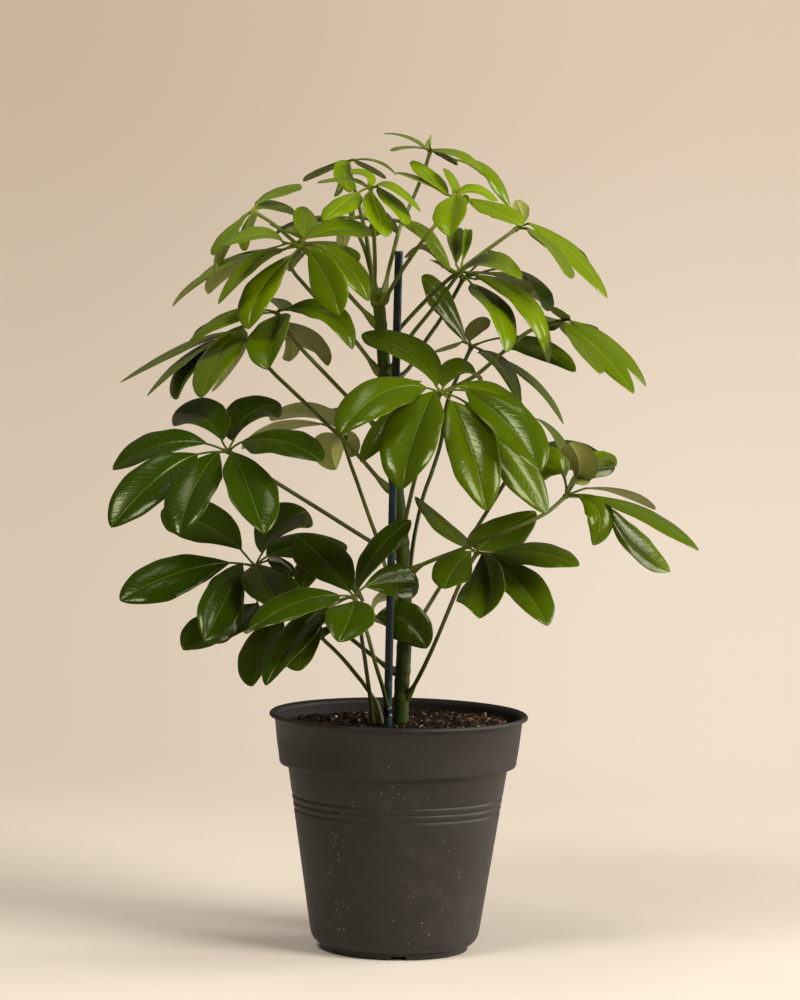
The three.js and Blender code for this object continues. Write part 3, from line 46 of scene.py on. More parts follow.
# ------------------------------------------------------------------ tables (mm)
STEM_AXIS = [[0.2, 3.5, 110], [0.7, 3, 140], [1.7, 3, 172.2], [1.7, 3, 190.7], [2.9, 3, 220.2], [2.6, 3, 257.1], [1.4, 3, 279.2], [-0.1, 3, 301.2], [-3.6, 3, 330.5], [-8.5, 3, 359.8], [-12.4, 3, 389], [-14.7, 3, 418.3], [-16.6, 3, 438.7], [-18.4, 3, 454.7], [-19.7, 3, 469.3], [-21.3, 3, 478]]
STAKE_AXIS = [[-9, -12.5, 45], [-7.8, -12.5, 168.8], [-8, -12.5, 199.7], [-6.7, -12.5, 459.2], [-6.3, -12.5, 512.9]]
# One entry per compound leaf: hub, youth 0..1, stalk centre line, leaflets. Youth is leaf age and also painted light:
# per leaf it is set higher or lower to lighten or darken the leaf as it is lit or shaded.
# Leaflet row: midrib as a quadratic curve (three points), half width, fold of the left and
# right half in degrees, widest point of each half, side shown, handedness, frame reference.
LEAVES = [
    {"hub": [-33.2, -95, 267.9], "young": 0.04,
     "stalk": [[-4.4, 3, 153.6], [-7.4, -8.7, 175.8], [-9.3, -19.8, 184.5], [-12.2, -35.2, 197.4], [-14.6, -46.1, 205.8], [-18, -61.4, 218.3], [-21, -74.5, 230.6], [-23, -81.4, 238.5], [-26.5, -88.7, 249.9], [-29.1, -91.8, 257.2], [-33.2, -95, 267.9]],
     "leaflets": [
         [-36.7, -85.2, 270.7, -51.2, -45.7, 289.2, -77.7, -21.4, 305.3, 17.6, 32, -31, 0.61, 0.52, 1, 1, 0],
         [-42.7, -101.9, 269.5, -70.8, -132.4, 274.5, -105, -151.2, 249.5, 17.6, 63, -56, 0.55, 0.58, 1, 1, 0],
         [-51.8, -95, 262.6, -77.5, -125.1, 243.2, -93.5, -143.5, 209.4, 17.6, 63, -49, 0.44, 0.51, 1, 1, 0],
         [-33.4, -102.4, 266, -33.3, -135.8, 260.9, -42.8, -156.3, 243.1, 17.7, 24, -8, 0.5, 0.5, 1, 1, 0],
         [-26.6, -95, 275.7, -2.5, -63, 278.7, 13.5, -43.4, 273.9, 13.8, -24, 38, 0.61, 0.56, 1, 1, 0],
         [-31.1, -87, 271.8, -24.9, -66.7, 299.2, 6.3, -54.3, 320.8, 15, -54, 56, 0.63, 0.61, 1, 1, 0],
         [-42.9, -87.9, 264.1, -69.3, -69, 249.9, -88, -54.2, 222.3, 15, 9, 9, 0.56, 0.56, 1, 1, 1],
     ]},
    {"hub": [-29.1, 0, 245.7], "young": 0.06,
     "stalk": [[-17.4, 3, 153.3], [-19.6, 1.9, 173.1], [-20.5, 0.8, 179.5], [-21.8, -0.8, 189.2], [-22.8, -1.9, 195.6], [-24.3, -3.3, 205.2], [-25.7, -4, 214.6], [-26.8, -4, 220.9], [-28.3, -3.1, 230.2], [-28.8, -2, 236.4], [-29.1, 0, 245.7]],
     "leaflets": [
         [-18.3, -4.2, 245.2, 7.7, -5, 249.1, 19.6, -5.4, 222.4, 14.8, -8, 16, 0.52, 0.48, 1, 1, 0],
         [-21, 0, 247.6, -18.6, 20.7, 257.4, -5.2, 33.4, 254.7, 8.2, -40, 64, 0.53, 0.55, -1, 1, 0],
         [-28.5, 0, 255.9, -32.2, 21.1, 260.8, -35.6, 34, 272.6, 8.2, 61, -78, 0.56, 0.54, 1, 1, 0],
         [-36.8, 8.6, 243.7, -62.1, 36.2, 237.7, -85.6, 63.6, 218, 16.4, 9, 9, 0.56, 0.56, 1, 1, 1],
         [-30.3, -11.6, 245.2, -34.1, -49.1, 250.5, -38.7, -86.4, 236.4, 16.4, 9, 9, 0.56, 0.56, 1, 1, 1],
         [-38.5, -6.9, 246.7, -68.2, -30, 261, -98.3, -51.2, 258, 16.4, 9, 9, 0.56, 0.56, 1, 1, 1],
         [-39.3, -4.5, 242.2, -70.1, -17.8, 225.6, -96.8, -31.9, 200.3, 16.4, 9, 9, 0.56, 0.56, 1, 1, 1],
     ]},
    {"hub": [-74.2, 14, 252.3], "young": 0.24,
     "stalk": [[-8.7, 3, 153.5], [-15.2, 4.7, 178.1], [-19.7, 6.4, 185], [-27, 9.1, 194.9], [-32.4, 10.8, 201.1], [-40.6, 13.1, 210.4], [-49.4, 14.8, 219.1], [-55.6, 15.4, 224.6], [-63.8, 15.5, 234.1], [-68.5, 15.1, 241.1], [-74.2, 14, 252.3]],
     "leaflets": [
         [-86.8, 14, 243.4, -106, -23.8, 226.7, -106.1, -46.9, 197.5, 16.8, 45, -37, 0.53, 0.58, 1, 1, 0],
         [-72.1, 5.5, 246.8, -71.9, -38.7, 233.6, -71.3, -65.8, 211.7, 16.8, 27, -26, 0.5, 0.58, 1, 1, 0],
         [-73, 15.3, 259.1, -69.8, 40.9, 274.5, -69.1, 56.6, 283.2, 10.1, -18, 18, 0.58, 0.57, 1, 1, 0],
         [-68.3, 24.2, 250.2, -48.5, 59.2, 245, -30.8, 87.2, 223.2, 16.8, 9, 9, 0.56, 0.56, 1, 1, 1],
         [-86, 14, 250.2, -125.3, 14.5, 245.4, -161.2, 12.9, 223.2, 16.8, 9, 9, 0.56, 0.56, 1, 1, 1],
         [-80.1, 24.2, 250.2, -99.9, 57.3, 243.5, -115.9, 87.5, 222.5, 16.8, 9, 9, 0.56, 0.56, 1, 1, 1],
         [-62.7, 16.5, 250.2, -24.9, 25.4, 244.9, 10, 31.9, 225.1, 16.8, 9, 9, 0.56, 0.56, 1, 1, 1],
     ]},
    {"hub": [-106.3, -11, 280.6], "young": 0.02,
     "stalk": [[-1.9, 3, 203.2], [-10.7, 2.7, 208.6], [-23.2, 2.3, 218], [-35.5, 1.9, 227.5], [-43.9, 1.6, 233.5], [-52.4, 1.1, 239.6], [-65.1, -0.2, 248.7], [-77.6, -2.5, 258], [-85.9, -4.5, 264.3], [-94.1, -6.9, 270.8], [-106.3, -11, 280.6]],
     "leaflets": [
         [-117.1, -11, 292.7, -140.6, 25.3, 311.4, -179.9, 47.5, 315.6, 18.9, 43, -31, 0.61, 0.58, 1, 1, 0],
         [-125, -11, 283.4, -165.3, -32, 281.7, -203, -44.8, 257.4, 18.9, 38, -43, 0.61, 0.61, 1, 1, 0],
         [-115.7, -18.6, 283.9, -125.7, -69.1, 262.5, -139.3, -100, 235.7, 18.9, -18, 31, 0.66, 0.66, 1, 1, 0],
         [-104.3, -11, 254.2, -125.1, -53.4, 241.7, -154.7, -79.4, 226.2, 18.9, 63, -33, 0.5, 0.66, 1, 1, 0],
         [-105.8, -20, 283.5, -96.1, -64.3, 271.4, -83.1, -91.5, 256.6, 19, -8, 44, 0.67, 0.42, 1, 1, 0],
         [-102.1, -3.9, 289.6, -95.1, 44.4, 312.6, -69.2, 74, 315.2, 18.9, -39, 53, 0.59, 0.58, 1, 1, 0],
         [-98.7, -4.3, 287.7, -76.4, 36.8, 296.6, -39.7, 62, 291.1, 18.9, -64, 56, 0.52, 0.57, 1, 1, 0],
         [-98.5, -11, 285.8, -77.8, -38.2, 281.8, -78.1, -54.8, 279.6, 13.8, 61, -8, 0.5, 0.55, 1, 1, 0],
     ]},
    {"hub": [54.4, -37, 296.2], "young": 0.18,
     "stalk": [[3.7, 3, 182.6], [9, -1.9, 191.3], [15.7, -9.2, 205.1], [21.7, -16.6, 219.2], [25.4, -21.4, 228.6], [29, -25.9, 238.1], [34.2, -31.4, 252.2], [39.4, -35.1, 266], [43.1, -36.4, 275], [47.1, -37, 283.8], [54.4, -37, 296.2]],
     "leaflets": [
         [50, -44.7, 298.2, 34.1, -82.3, 288.4, 31.5, -105.4, 277.1, 14.1, 20, -20, 0.57, 0.55, 1, 1, 0],
         [57.8, -47.3, 297, 65.7, -93, 270.2, 56.8, -121.1, 258.3, 21.7, 64, -8, 0.57, 0.62, 1, 1, 0],
         [65.6, -41.5, 294.7, 90.7, -78.9, 278.4, 103.6, -101.8, 251.7, 17.6, -37, 46, 0.5, 0.44, 1, 1, 0],
         [63.7, -44.1, 296.3, 97.3, -78.8, 307.6, 124.9, -100.1, 293.7, 17.6, -71, 59, 0.56, 0.59, 1, 1, 0],
         [55.1, -26.4, 297.1, 62.7, 13.2, 302.4, 99.4, 37.5, 321.7, 17.6, -47, 36, 0.44, 0.5, 1, 1, 0],
         [46.5, -28.1, 299.3, 38.9, 10.4, 302.3, 8.6, 34, 331.7, 17.6, 74, -74, 0.45, 0.46, 1, 1, 0],
         [62.4, -28.1, 292.4, 87.7, -0.6, 276.1, 106.6, 20, 244.2, 17.6, 9, 9, 0.56, 0.56, 1, 1, 1],
     ]},
    {"hub": [83.9, 29.6, 361.6], "young": 0,
     "stalk": [[2.2, 3, 220.2], [8.2, 6.8, 231.6], [18, 10.4, 248.4], [28, 14.7, 265.1], [34.7, 17.6, 276.3], [41.4, 20.3, 287.4], [51.6, 23.8, 304.2], [61.9, 26.3, 321], [68.7, 27.5, 332.3], [75.2, 28.3, 343.7], [83.9, 29.6, 361.6]],
     "leaflets": [
         [92.1, 38.3, 359.6, 123.9, 71.1, 367.2, 159.7, 91.4, 351.1, 18.5, -55, 51, 0.53, 0.59, 1, 1, 0],
         [80.1, 41.3, 359.2, 67.1, 82.5, 353.3, 54, 119, 329.5, 18.5, 9, 9, 0.56, 0.56, 1, 1, 1],
         [77.4, 17.7, 362.7, 56.3, -18.6, 378.4, 36.1, -54.7, 379, 18.5, 9, 9, 0.56, 0.56, 1, 1, 1],
         [82.9, 16.2, 360.9, 77.6, -27, 365.2, 74.8, -67.9, 355, 18.5, 9, 9, 0.56, 0.56, 1, 1, 1],
         [85.6, 42.4, 360.9, 88.9, 86.7, 366.7, 92.9, 128.8, 354.3, 18.5, 9, 9, 0.56, 0.56, 1, 1, 1],
         [77.5, 40.6, 362.6, 56.2, 77.7, 377.2, 34.5, 113.9, 378.3, 18.5, 9, 9, 0.56, 0.56, 1, 1, 1],
     ]},
    {"hub": [-125, -76, 368.6], "young": 0,
     "stalk": [[-4.2, 3, 289.4], [-14.4, -3.3, 295.4], [-29.3, -12.8, 304.8], [-43.9, -22.3, 314.5], [-53.6, -28.6, 321], [-63.3, -34.9, 327.4], [-77.8, -44.4, 336.9], [-92.1, -53.9, 346.3], [-101.7, -60.2, 352.6], [-111.1, -66.5, 358.9], [-125, -76, 368.6]],
     "leaflets": [
         [-130.3, -67.6, 375.9, -142.2, -19.9, 396.2, -169.9, 9.4, 390, 18.9, 59, -45, 0.5, 0.58, 1, 1, 0],
         [-122.1, -67, 376, -120, -19, 396.9, -90.2, 10.5, 399.4, 18.9, -48, 55, 0.56, 0.5, 1, 1, 0],
         [-140.3, -72, 373.9, -175.9, -61.7, 379.2, -209.4, -55.3, 352.8, 18.9, 72, -54, 0.5, 0.57, 1, 1, 0],
         [-147, -76, 366.8, -174.4, -102.6, 357.2, -205.7, -118.9, 316.5, 18.9, 42, -26, 0.5, 0.62, 1, 1, 0],
         [-131.7, -85.8, 369.1, -149.6, -126.7, 352, -156, -151.8, 315.2, 18.9, 38, -24, 0.57, 0.58, 1, 1, 0],
         [-121.9, -87.2, 369.5, -109.1, -135.8, 350.9, -96.4, -165.5, 318.6, 19.6, -13, 49, 0.56, 0.6, 1, 1, 0],
         [-116.4, -82.6, 376.2, -86.1, -123, 387.9, -58.1, -147.7, 367.8, 18.9, -60, 59, 0.62, 0.48, 1, 1, 0],
     ]},
    {"hub": [117.9, -38, 338.9], "young": 0.38,
     "stalk": [[5.5, 3, 277], [14, -4.9, 283.5], [27.8, -17, 290.8], [42, -29.3, 297.5], [51.3, -37, 302.2], [60.7, -43.7, 306.8], [74.6, -50.7, 313.3], [88.5, -52.4, 319.8], [97.7, -50.5, 324], [106.4, -46.5, 329.1], [117.9, -38, 338.9]],
     "leaflets": [
         [132.2, -38, 345, 154.8, 6.3, 342.5, 184.9, 33.5, 325.2, 19.3, -72, 80, 0.45, 0.56, -1, 1, 0],
         [133, -38, 340, 182.9, -47.7, 331.2, 213.8, -53.6, 302.4, 19.3, -79, 75, 0.55, 0.53, 1, 1, 0],
         [147.2, -38, 332.3, 164.2, -25.1, 304.5, 196.1, -17.3, 283.8, 19.3, -62, 66, 0.6, 0.51, 1, 1, 0],
         [125.9, -45, 340.3, 151.1, -53.5, 332, 137.2, -60, 305.6, 11.5, -25, 36, 0.55, 0.55, 1, 1, 0],
         [123.4, -38, 348.4, 131.5, -64.1, 364.5, 116.9, -80.1, 380.7, 13.7, 47, -8, 0.55, 0.42, -1, 1, 0],
         [119.2, -38, 345.5, 124, -49.1, 354, 130.7, -55.9, 347.7, 10.1, 65, -64, 0.56, 0.57, -1, 1, 0],
         [117.2, -27, 351.2, 116.8, 20.5, 377.4, 100.5, 49.6, 389.2, 19.3, 78, -78, 0.61, 0.58, 1, 1, 0],
         [125.9, -34, 351.1, 139.9, -14, 367, 156.2, 6, 357.4, 10.2, 23, -45, 0.5, 0.5, 1, 1, 0],
         [115.2, -42, 355.1, 106, -41, 366.4, 84.3, -36, 357, 15, 48, -24, 0.5, 0.5, 1, 1, 0],
     ]},
    {"hub": [-47.1, 72, 374.6], "young": 0.58,
     "stalk": [[-4.4, 3, 258.4], [-7.6, 8.5, 267.6], [-12.4, 16.8, 281.5], [-16.9, 25.1, 295.5], [-20.4, 30.6, 304.7], [-24.2, 36.1, 313.8], [-29.6, 44.4, 327.7], [-35, 52.7, 341.6], [-38.8, 58.2, 350.9], [-42.3, 63.7, 360.3], [-47.1, 72, 374.6]],
     "leaflets": [
         [-51.6, 63.7, 381, -72.7, 32.2, 397.6, -99.7, 12.9, 389.7, 18, 66, -58, 0.56, 0.4, -1, 1, 0],
         [-61.4, 72, 381, -92.3, 100.9, 385.1, -122, 118.6, 358.1, 18, 71, -73, 0.56, 0.56, -1, 1, 0],
         [-47.8, 80.7, 372, -60, 118.6, 364.7, -51.4, 141.9, 343, 15.3, 39, -13, 0.65, 0.44, -1, 1, 0],
         [-47, 77.7, 373.2, -38.1, 101, 375.2, -41.5, 115.3, 354.5, 9.9, -42, 41, 0.64, 0.58, -1, 1, 0],
         [-39.1, 80.9, 377.2, -15.6, 107.2, 402.3, 11, 134.1, 412.5, 18, 9, 9, 0.56, 0.56, 1, 1, 1],
         [-48.4, 84.2, 375.7, -53, 123.8, 391.1, -55.9, 160.8, 387.5, 18, 9, 9, 0.56, 0.56, 1, 1, 1],
     ]},
    {"hub": [24.8, -103, 415.1], "young": 0.26,
     "stalk": [[-0, 3, 297.5], [0.9, -5.5, 307.4], [3, -18.2, 322.1], [5.7, -30.9, 336.5], [7.6, -39.4, 346], [9.8, -47.9, 355.4], [13.3, -60.6, 369.4], [16.7, -73.3, 383.2], [19, -81.8, 392.4], [21.2, -90.3, 401.6], [24.8, -103, 415.1]],
     "leaflets": [
         [22.2, -92.1, 419, 9.2, -53.7, 444.6, -32.7, -30.1, 453.2, 19.3, 69, -47, 0.58, 0.5, 1, 1, 0],
         [15.8, -111.5, 418.9, -18, -146.2, 428.6, -44, -167.5, 389.1, 19.3, 46, -45, 0.54, 0.71, 1, 1, 0],
         [21.2, -114.3, 417.2, 4.7, -151.5, 392.3, -0.4, -174.4, 352.3, 23.6, 47, -13, 0.6, 0.52, 1, 1, 0],
         [31.9, -112, 410.6, 47, -140.3, 386.7, 58.5, -157.7, 336.7, 19.4, -8, 33, 0.5, 0.57, 1, 1, 0],
         [42.6, -103, 417.8, 75.3, -134.8, 401, 94.9, -154.2, 364.3, 19.3, -20, 58, 0.62, 0.49, 1, 1, 0],
         [36.6, -99, 419.7, 59.2, -88.2, 421.3, 87.2, -81.6, 402.4, 16.4, -68, 59, 0.62, 0.46, 1, 1, 0],
         [26.9, -94.9, 418.7, 40.2, -57.5, 434.7, 52.2, -34.6, 423.6, 14.5, -48, 77, 0.42, 0.56, 1, 1, 0],
         [41.6, -103, 410, 75.1, -112.7, 378.3, 102.2, -118.6, 332, 19.3, -46, 46, 0.5, 0.56, 1, 1, 0],
         [16.7, -107, 414.4, -2.9, -113.6, 403.8, -30.5, -117.6, 365.8, 13.1, 52, -41, 0.43, 0.66, 1, 1, 0],
     ]},
    {"hub": [48.5, 33.6, 442.6], "young": 0.26,
     "stalk": [[5.1, 3, 263], [6.2, 12.5, 277.2], [8.5, 25.9, 298.6], [12.6, 39.9, 319.9], [16.3, 48.7, 334], [21.2, 56, 347.8], [27.5, 62.5, 369.4], [30.2, 61.6, 392.1], [33.7, 56.6, 407], [39.6, 48.5, 421.4], [48.5, 33.6, 442.6]],
     "leaflets": [
         [44.7, 29.8, 444.5, 29.9, 17.5, 480, 10.6, 10, 493.2, 18.5, 60, -66, 0.66, 0.65, 1, 1, 0],
         [46.4, 24, 446.3, 50.5, 2, 458.3, 57.8, -12, 467, 8.5, -35, 35, 0.56, 0.56, -1, 1, 0],
         [41.4, 38, 446, 33.7, 75.1, 442.2, 20.9, 97.9, 435.1, 5, 47, -76, 0.6, 0.57, -1, 1, 0],
         [69.1, 33, 449.5, 96.2, -8, 450.7, 121.1, -33.2, 428.9, 18.5, -67, 63, 0.56, 0.5, 1, 1, 0],
         [59.1, 25.9, 439, 101.9, 16.6, 422.1, 116.6, 10.9, 387.7, 18.5, -82, 82, 0.53, 0.55, 1, 1, 0],
         [54.3, 23.6, 440.4, 71.7, -12.4, 439.4, 82.9, -34.5, 404.8, 18.5, -76, 71, 0.52, 0.54, 1, 1, 0],
     ]},
    {"hub": [-116.5, 17.1, 444.4], "young": 0.42,
     "stalk": [[-8.8, 3, 337], [-17.6, 4.1, 345.3], [-29.9, 5.8, 358.9], [-42.7, 7.5, 372], [-51.7, 8.6, 380.3], [-60.8, 9.7, 388.5], [-74.2, 11.4, 401], [-87.8, 13.1, 413.3], [-96.8, 14.2, 421.6], [-105, 15.3, 430.6], [-116.5, 17.1, 444.4]],
     "leaflets": [
         [-119.3, -4, 456.5, -135.5, -62.1, 444.1, -143.3, -98.1, 409.1, 19.3, 50, -52, 0.54, 0.56, 1, 1, 0],
         [-122.2, 8.9, 453, -163, -22.9, 428.8, -163.2, -42, 404.9, 19.3, 72, -64, 0.44, 0.58, 1, 1, 0],
         [-124.1, 8.5, 451.5, -154.2, -0.6, 448.6, -207.9, -6.7, 412.9, 19.3, 83, -83, 0.56, 0.56, 1, 1, 0],
         [-134.6, 17.2, 446.7, -155.1, -21.3, 440.7, -185.3, -45.1, 406.2, 19.3, 82, -82, 0.56, 0.56, 1, 1, 0],
         [-123.5, 26.5, 441.1, -126.7, 77.5, 429.1, -141.6, 108.2, 404.6, 19.3, 76, -82, 0.5, 0.61, -1, 1, 0],
         [-109.5, 28.9, 444.6, -86.4, 67.7, 448, -63.9, 105.2, 432.4, 19.3, 9, 9, 0.56, 0.56, 1, 1, 1],
         [-126.7, 26.7, 443.4, -141.5, 52.8, 433.4, -148.7, 76, 418.1, 16.4, 9, 9, 0.56, 0.56, 1, 1, 1],
     ]},
    {"hub": [-93.7, -24, 466.7], "young": 0.36,
     "stalk": [[-14.7, 3, 379.5], [-22, 0.8, 385.6], [-32.2, -2.4, 395.6], [-42, -5.6, 405.9], [-48.6, -7.8, 412.7], [-55.2, -10, 419.5], [-65.1, -13.2, 429.7], [-74.9, -16.4, 439.9], [-80.8, -18.6, 447.1], [-86.4, -20.8, 454.7], [-93.7, -24, 466.7]],
     "leaflets": [
         [-100.5, -30.5, 468.7, -125.6, -51.2, 474.4, -154.9, -63.9, 446.9, 14.7, 65, -81, 0.61, 0.54, 1, 1, 0],
         [-87.8, -31.2, 469.2, -52.7, -49.9, 480.2, -38.6, -61.3, 443.3, 14.7, -47, 64, 0.55, 0.56, 1, 1, 0],
         [-91.8, -17.8, 468.7, -93.4, 14, 472.9, -97.2, 33.5, 476.4, 11.8, 56, -52, 0.59, 0.58, 1, 1, 0],
         [-91.4, -32.7, 466, -95, -74.3, 453.4, -97.2, -99.9, 429.6, 18.9, 60, -8, 0.54, 0.58, 1, 1, 0],
         [-87.2, -19.7, 460.1, -66, 13.3, 452.7, -58.6, 33.5, 427.7, 14.7, -63, 57, 0.56, 0.56, -1, 1, 0],
         [-86.8, -24, 457.4, -80, -4.3, 441.1, -84.6, 7.8, 430.7, 8.8, 51, -40, 0.59, 0.64, -1, 1, 0],
         [-103.9, -21.9, 465.9, -131.4, -16.3, 465.2, -155.5, -10.8, 448.7, 12.5, 9, 9, 0.56, 0.56, 1, 1, 1],
     ]},
    {"hub": [110.7, -30.3, 464.7], "young": 0.46,
     "stalk": [[-6.4, 3, 402.3], [4.5, -2.6, 404.1], [20.3, -11.2, 408], [35.1, -19.9, 415.2], [44.7, -25.4, 420.4], [53.6, -30.2, 426.6], [65.6, -35.5, 437.7], [77.5, -37.4, 448.7], [85.9, -36.7, 455.6], [95.3, -34.6, 460.6], [110.7, -30.3, 464.7]],
     "leaflets": [
         [116.2, -44.2, 466.5, 151.1, -55.2, 455.4, 172.7, -60.9, 420.5, 12.5, -70, 70, 0.56, 0.56, 1, 1, 0],
         [112.3, -49.8, 464, 139.7, -86.1, 451.1, 161.5, -105.8, 417.6, 14, -57, 55, 0.49, 0.48, 1, 1, 0],
         [114.3, -49.9, 462.3, 124.6, -100.7, 448.8, 135.1, -124.2, 433.3, 11, -59, 69, 0.75, 0.56, 1, 1, 0],
         [114.5, -30.3, 465, 110.8, -45.2, 470.1, 106.7, -54.1, 476.4, 9, 59, -59, 0.54, 0.58, -1, 1, 0],
         [112.2, -22.3, 465, 110.2, 12.6, 459.1, 97.6, 34.4, 467.9, 12.6, 68, -68, 0.56, 0.52, 1, 1, 0],
         [118.7, -20.8, 462.5, 133.7, -0.8, 455.3, 151.1, 13.7, 436.4, 15.4, 9, 9, 0.56, 0.56, 1, 1, 1],
         [114.7, -17.9, 463.3, 125.7, 16.7, 461.5, 134, 44.5, 443.1, 15.4, 9, 9, 0.56, 0.56, 1, 1, 1],
     ]},
    {"hub": [78.2, -17, 530.6], "young": 0.66,
     "stalk": [[-13.8, 3, 445.3], [-7.3, -1.6, 453.3], [2.6, -8.6, 464.9], [12.7, -15.7, 476.3], [19.7, -20.2, 483.6], [26.9, -24, 490.7], [38.2, -27.7, 500.5], [50, -28.1, 509.7], [58, -26.3, 515.8], [66, -23.2, 521.7], [78.2, -17, 530.6]],
     "leaflets": [
         [86.3, -20.3, 535.5, 118.8, -32.9, 522.5, 144.4, -40.7, 482.5, 17.6, -71, 70, 0.56, 0.56, 1, 1, 0],
         [86.9, -24.8, 531.6, 104.1, -70.8, 520.3, 111.1, -99.1, 501.2, 17.6, -69, 76, 0.72, 0.56, 1, 1, 0],
         [81.6, -20, 533.4, 83.5, -28, 541.3, 76.3, -32, 551.6, 8, -36, 36, 0.69, 0.47, -1, 1, 0],
         [79, -8, 534.1, 71.1, 14, 538.6, 61.3, 28, 543.4, 8.8, 60, -65, 0.56, 0.56, 1, 1, 0],
         [86.4, -8, 530.6, 108.4, 20, 519.3, 131, 40, 500.4, 17.6, 9, 9, 0.56, 0.56, 1, 1, 1],
     ]},
    {"hub": [41.2, 36, 492.2], "young": 0,
     "stalk": [[-11.1, 3, 419.8], [-4, 8.6, 420.8], [3.5, 17.2, 427.7], [9.1, 25.9, 437.1], [12.8, 31.4, 443.4], [16.9, 36.2, 449.6], [23.2, 41.5, 458.8], [29.1, 43.4, 468.4], [32.6, 42.7, 475.2], [36.1, 40.6, 481.9], [41.2, 36, 492.2]],
     "leaflets": [
         [72.6, 32, 501, 93.9, -14.1, 494.5, 97.4, -42.4, 476, 18.1, -66, 76, 0.62, 0.56, 1, 1, 0],
         [60, 36, 508.7, 71.7, 50.1, 505.7, 82.3, 58.7, 490.8, 18.1, -76, 81, 0.56, 0.56, 1, 1, 0],
         [26.3, 36, 500.2, 12.4, 28.9, 525.6, -2.7, 24.5, 506.9, 18.1, 79, -84, 0.55, 0.55, -1, 1, 0],
         [32.2, 36, 497, 22.9, 20.7, 503.9, 17.7, 11.4, 506.3, 6.3, 80, -66, 0.57, 0.57, -1, 1, 0],
         [49.7, 45.4, 491.9, 78.2, 77.3, 494.7, 102.5, 106.3, 475.4, 18.1, 9, 9, 0.56, 0.56, 1, 1, 1],
     ]},
    {"hub": [37.3, -34, 498.4], "young": 0.74,
     "stalk": [[-14.8, 3, 421.2], [-10.1, -0.5, 427.1], [-4.6, -4.4, 436.9], [0.8, -8.8, 446.8], [4.7, -11.8, 453.2], [9.2, -14.8, 459.2], [16, -19.2, 468], [22.6, -23.6, 477], [26.9, -26.6, 483.1], [31.1, -29.6, 489.2], [37.3, -34, 498.4]],
     "leaflets": [
         [31.5, -37.7, 499.8, 19.4, -50.3, 527.8, -6.1, -58.1, 534.3, 18.5, 74, -74, 0.42, 0.53, 1, 1, 0],
         [35.1, -23.3, 503.8, 35.8, 26.9, 516.7, 34.5, 57.6, 529.2, 9.2, 42, 42, 0.64, 0.52, 1, 1, 0],
         [39.4, -29, 505.5, 43.1, 7.5, 519.2, 44.2, 29.9, 529.8, 5.5, 50, 50, 0.59, 0.57, 1, 1, 0],
         [38.6, -44.9, 500.5, 55.2, -91.4, 516, 79.1, -120, 497.3, 18.5, -73, 73, 0.45, 0.41, 1, 1, 0],
         [45.8, -56.3, 498.1, 98.3, -68.3, 490.3, 102.1, -75.7, 436.2, 18.5, -71, 66, 0.55, 0.5, 1, 1, 0],
         [45.8, -39.9, 491.4, 69.3, -82.9, 478.4, 70.1, -109.3, 446.7, 18.5, -58, 65, 0.51, 0.46, 1, 1, 0],
         [46, -24.3, 498.6, 70.8, 3.5, 498.9, 90, 24.8, 483.3, 15.7, 9, 9, 0.56, 0.56, 1, 1, 1],
     ]},
    {"hub": [-76.8, -41, 515.1], "young": 0.66,
     "stalk": [[-18.5, 3, 422.6], [-24.4, -0.5, 430.4], [-33.3, -5.8, 442.2], [-42.7, -11.1, 453.5], [-49.3, -14.6, 460.7], [-55.9, -18.1, 467.8], [-65.8, -23.4, 478.4], [-75.5, -28.7, 489.2], [-81.7, -32.2, 496.5], [-84.6, -35.7, 504.6], [-76.8, -41, 515.1]],
     "leaflets": [
         [-89.3, -41, 517.8, -97.9, -74.2, 531.3, -131.6, -94.6, 516, 15.1, 76, -72, 0.64, 0.51, 1, 1, 0],
         [-75.4, -33.1, 521.4, -75.8, 9.2, 533.1, -72.8, 35, 541.8, 10.8, 28, -19, 0.46, 0.6, 1, 1, 0],
         [-75.5, -33.1, 520.3, -47.9, -7.8, 533.1, -26.1, 7.7, 526.6, 15.1, -60, 67, 0.58, 0.54, 1, 1, 0],
         [-68.6, -46.5, 518, -41, -55.5, 509, -27.7, -61, 477.9, 15.1, -55, 62, 0.59, 0.56, 1, 1, 0],
         [-71.7, -49, 513.5, -55.1, -80, 495.9, -46.8, -99, 469, 15.1, 36, -19, 0.64, 0.47, 1, 1, 0],
         [-82, -47.7, 510.1, -111.1, -69.9, 484.6, -112, -83.6, 457.4, 15.1, 49, -39, 0.65, 0.57, 1, 1, 0],
         [-88.6, -41, 513.2, -110.2, -62.6, 512, -134.1, -75.9, 474.2, 15.1, 73, -66, 0.56, 0.49, 1, 1, 0],
         [-77.3, -37.3, 511.8, -82.1, -17.6, 507.8, -84.6, -5.5, 497.5, 7.6, 51, -63, 0.52, 0.55, -1, 1, 0],
     ]},
    {"hub": [-113.2, 1, 539.7], "young": 0.8,
     "stalk": [[-20.6, 3, 456.9], [-27.3, 2.8, 464.3], [-37.8, 2.6, 475.1], [-47.9, 2.4, 486.1], [-54.6, 2.2, 493.5], [-61.9, 2, 500.3], [-73.4, 1.8, 509.9], [-84.9, 1.6, 519.6], [-92.5, 1.4, 526], [-100.4, 1.2, 532.1], [-113.2, 1, 539.7]],
     "leaflets": [
         [-118.2, -5.4, 536.8, -133.5, -29.7, 521.7, -138, -44.7, 509.4, 11.8, 68, -65, 0.59, 0.59, 1, 1, 0],
         [-118.8, -1.8, 534.5, -144.5, -7.7, 516.9, -139.5, -11.3, 487.5, 11.8, 84, -84, 0.56, 0.56, 1, 1, 0],
         [-121.1, 1, 535.2, -134.7, 26.6, 517.1, -137.1, 42.3, 500.4, 11.8, 72, -70, 0.59, 0.61, -1, 1, 0],
         [-113.6, -5.9, 538.3, -117.2, -36.2, 528.7, -115, -54.8, 514.1, 11.8, 59, -59, 0.56, 0.54, 1, 1, 0],
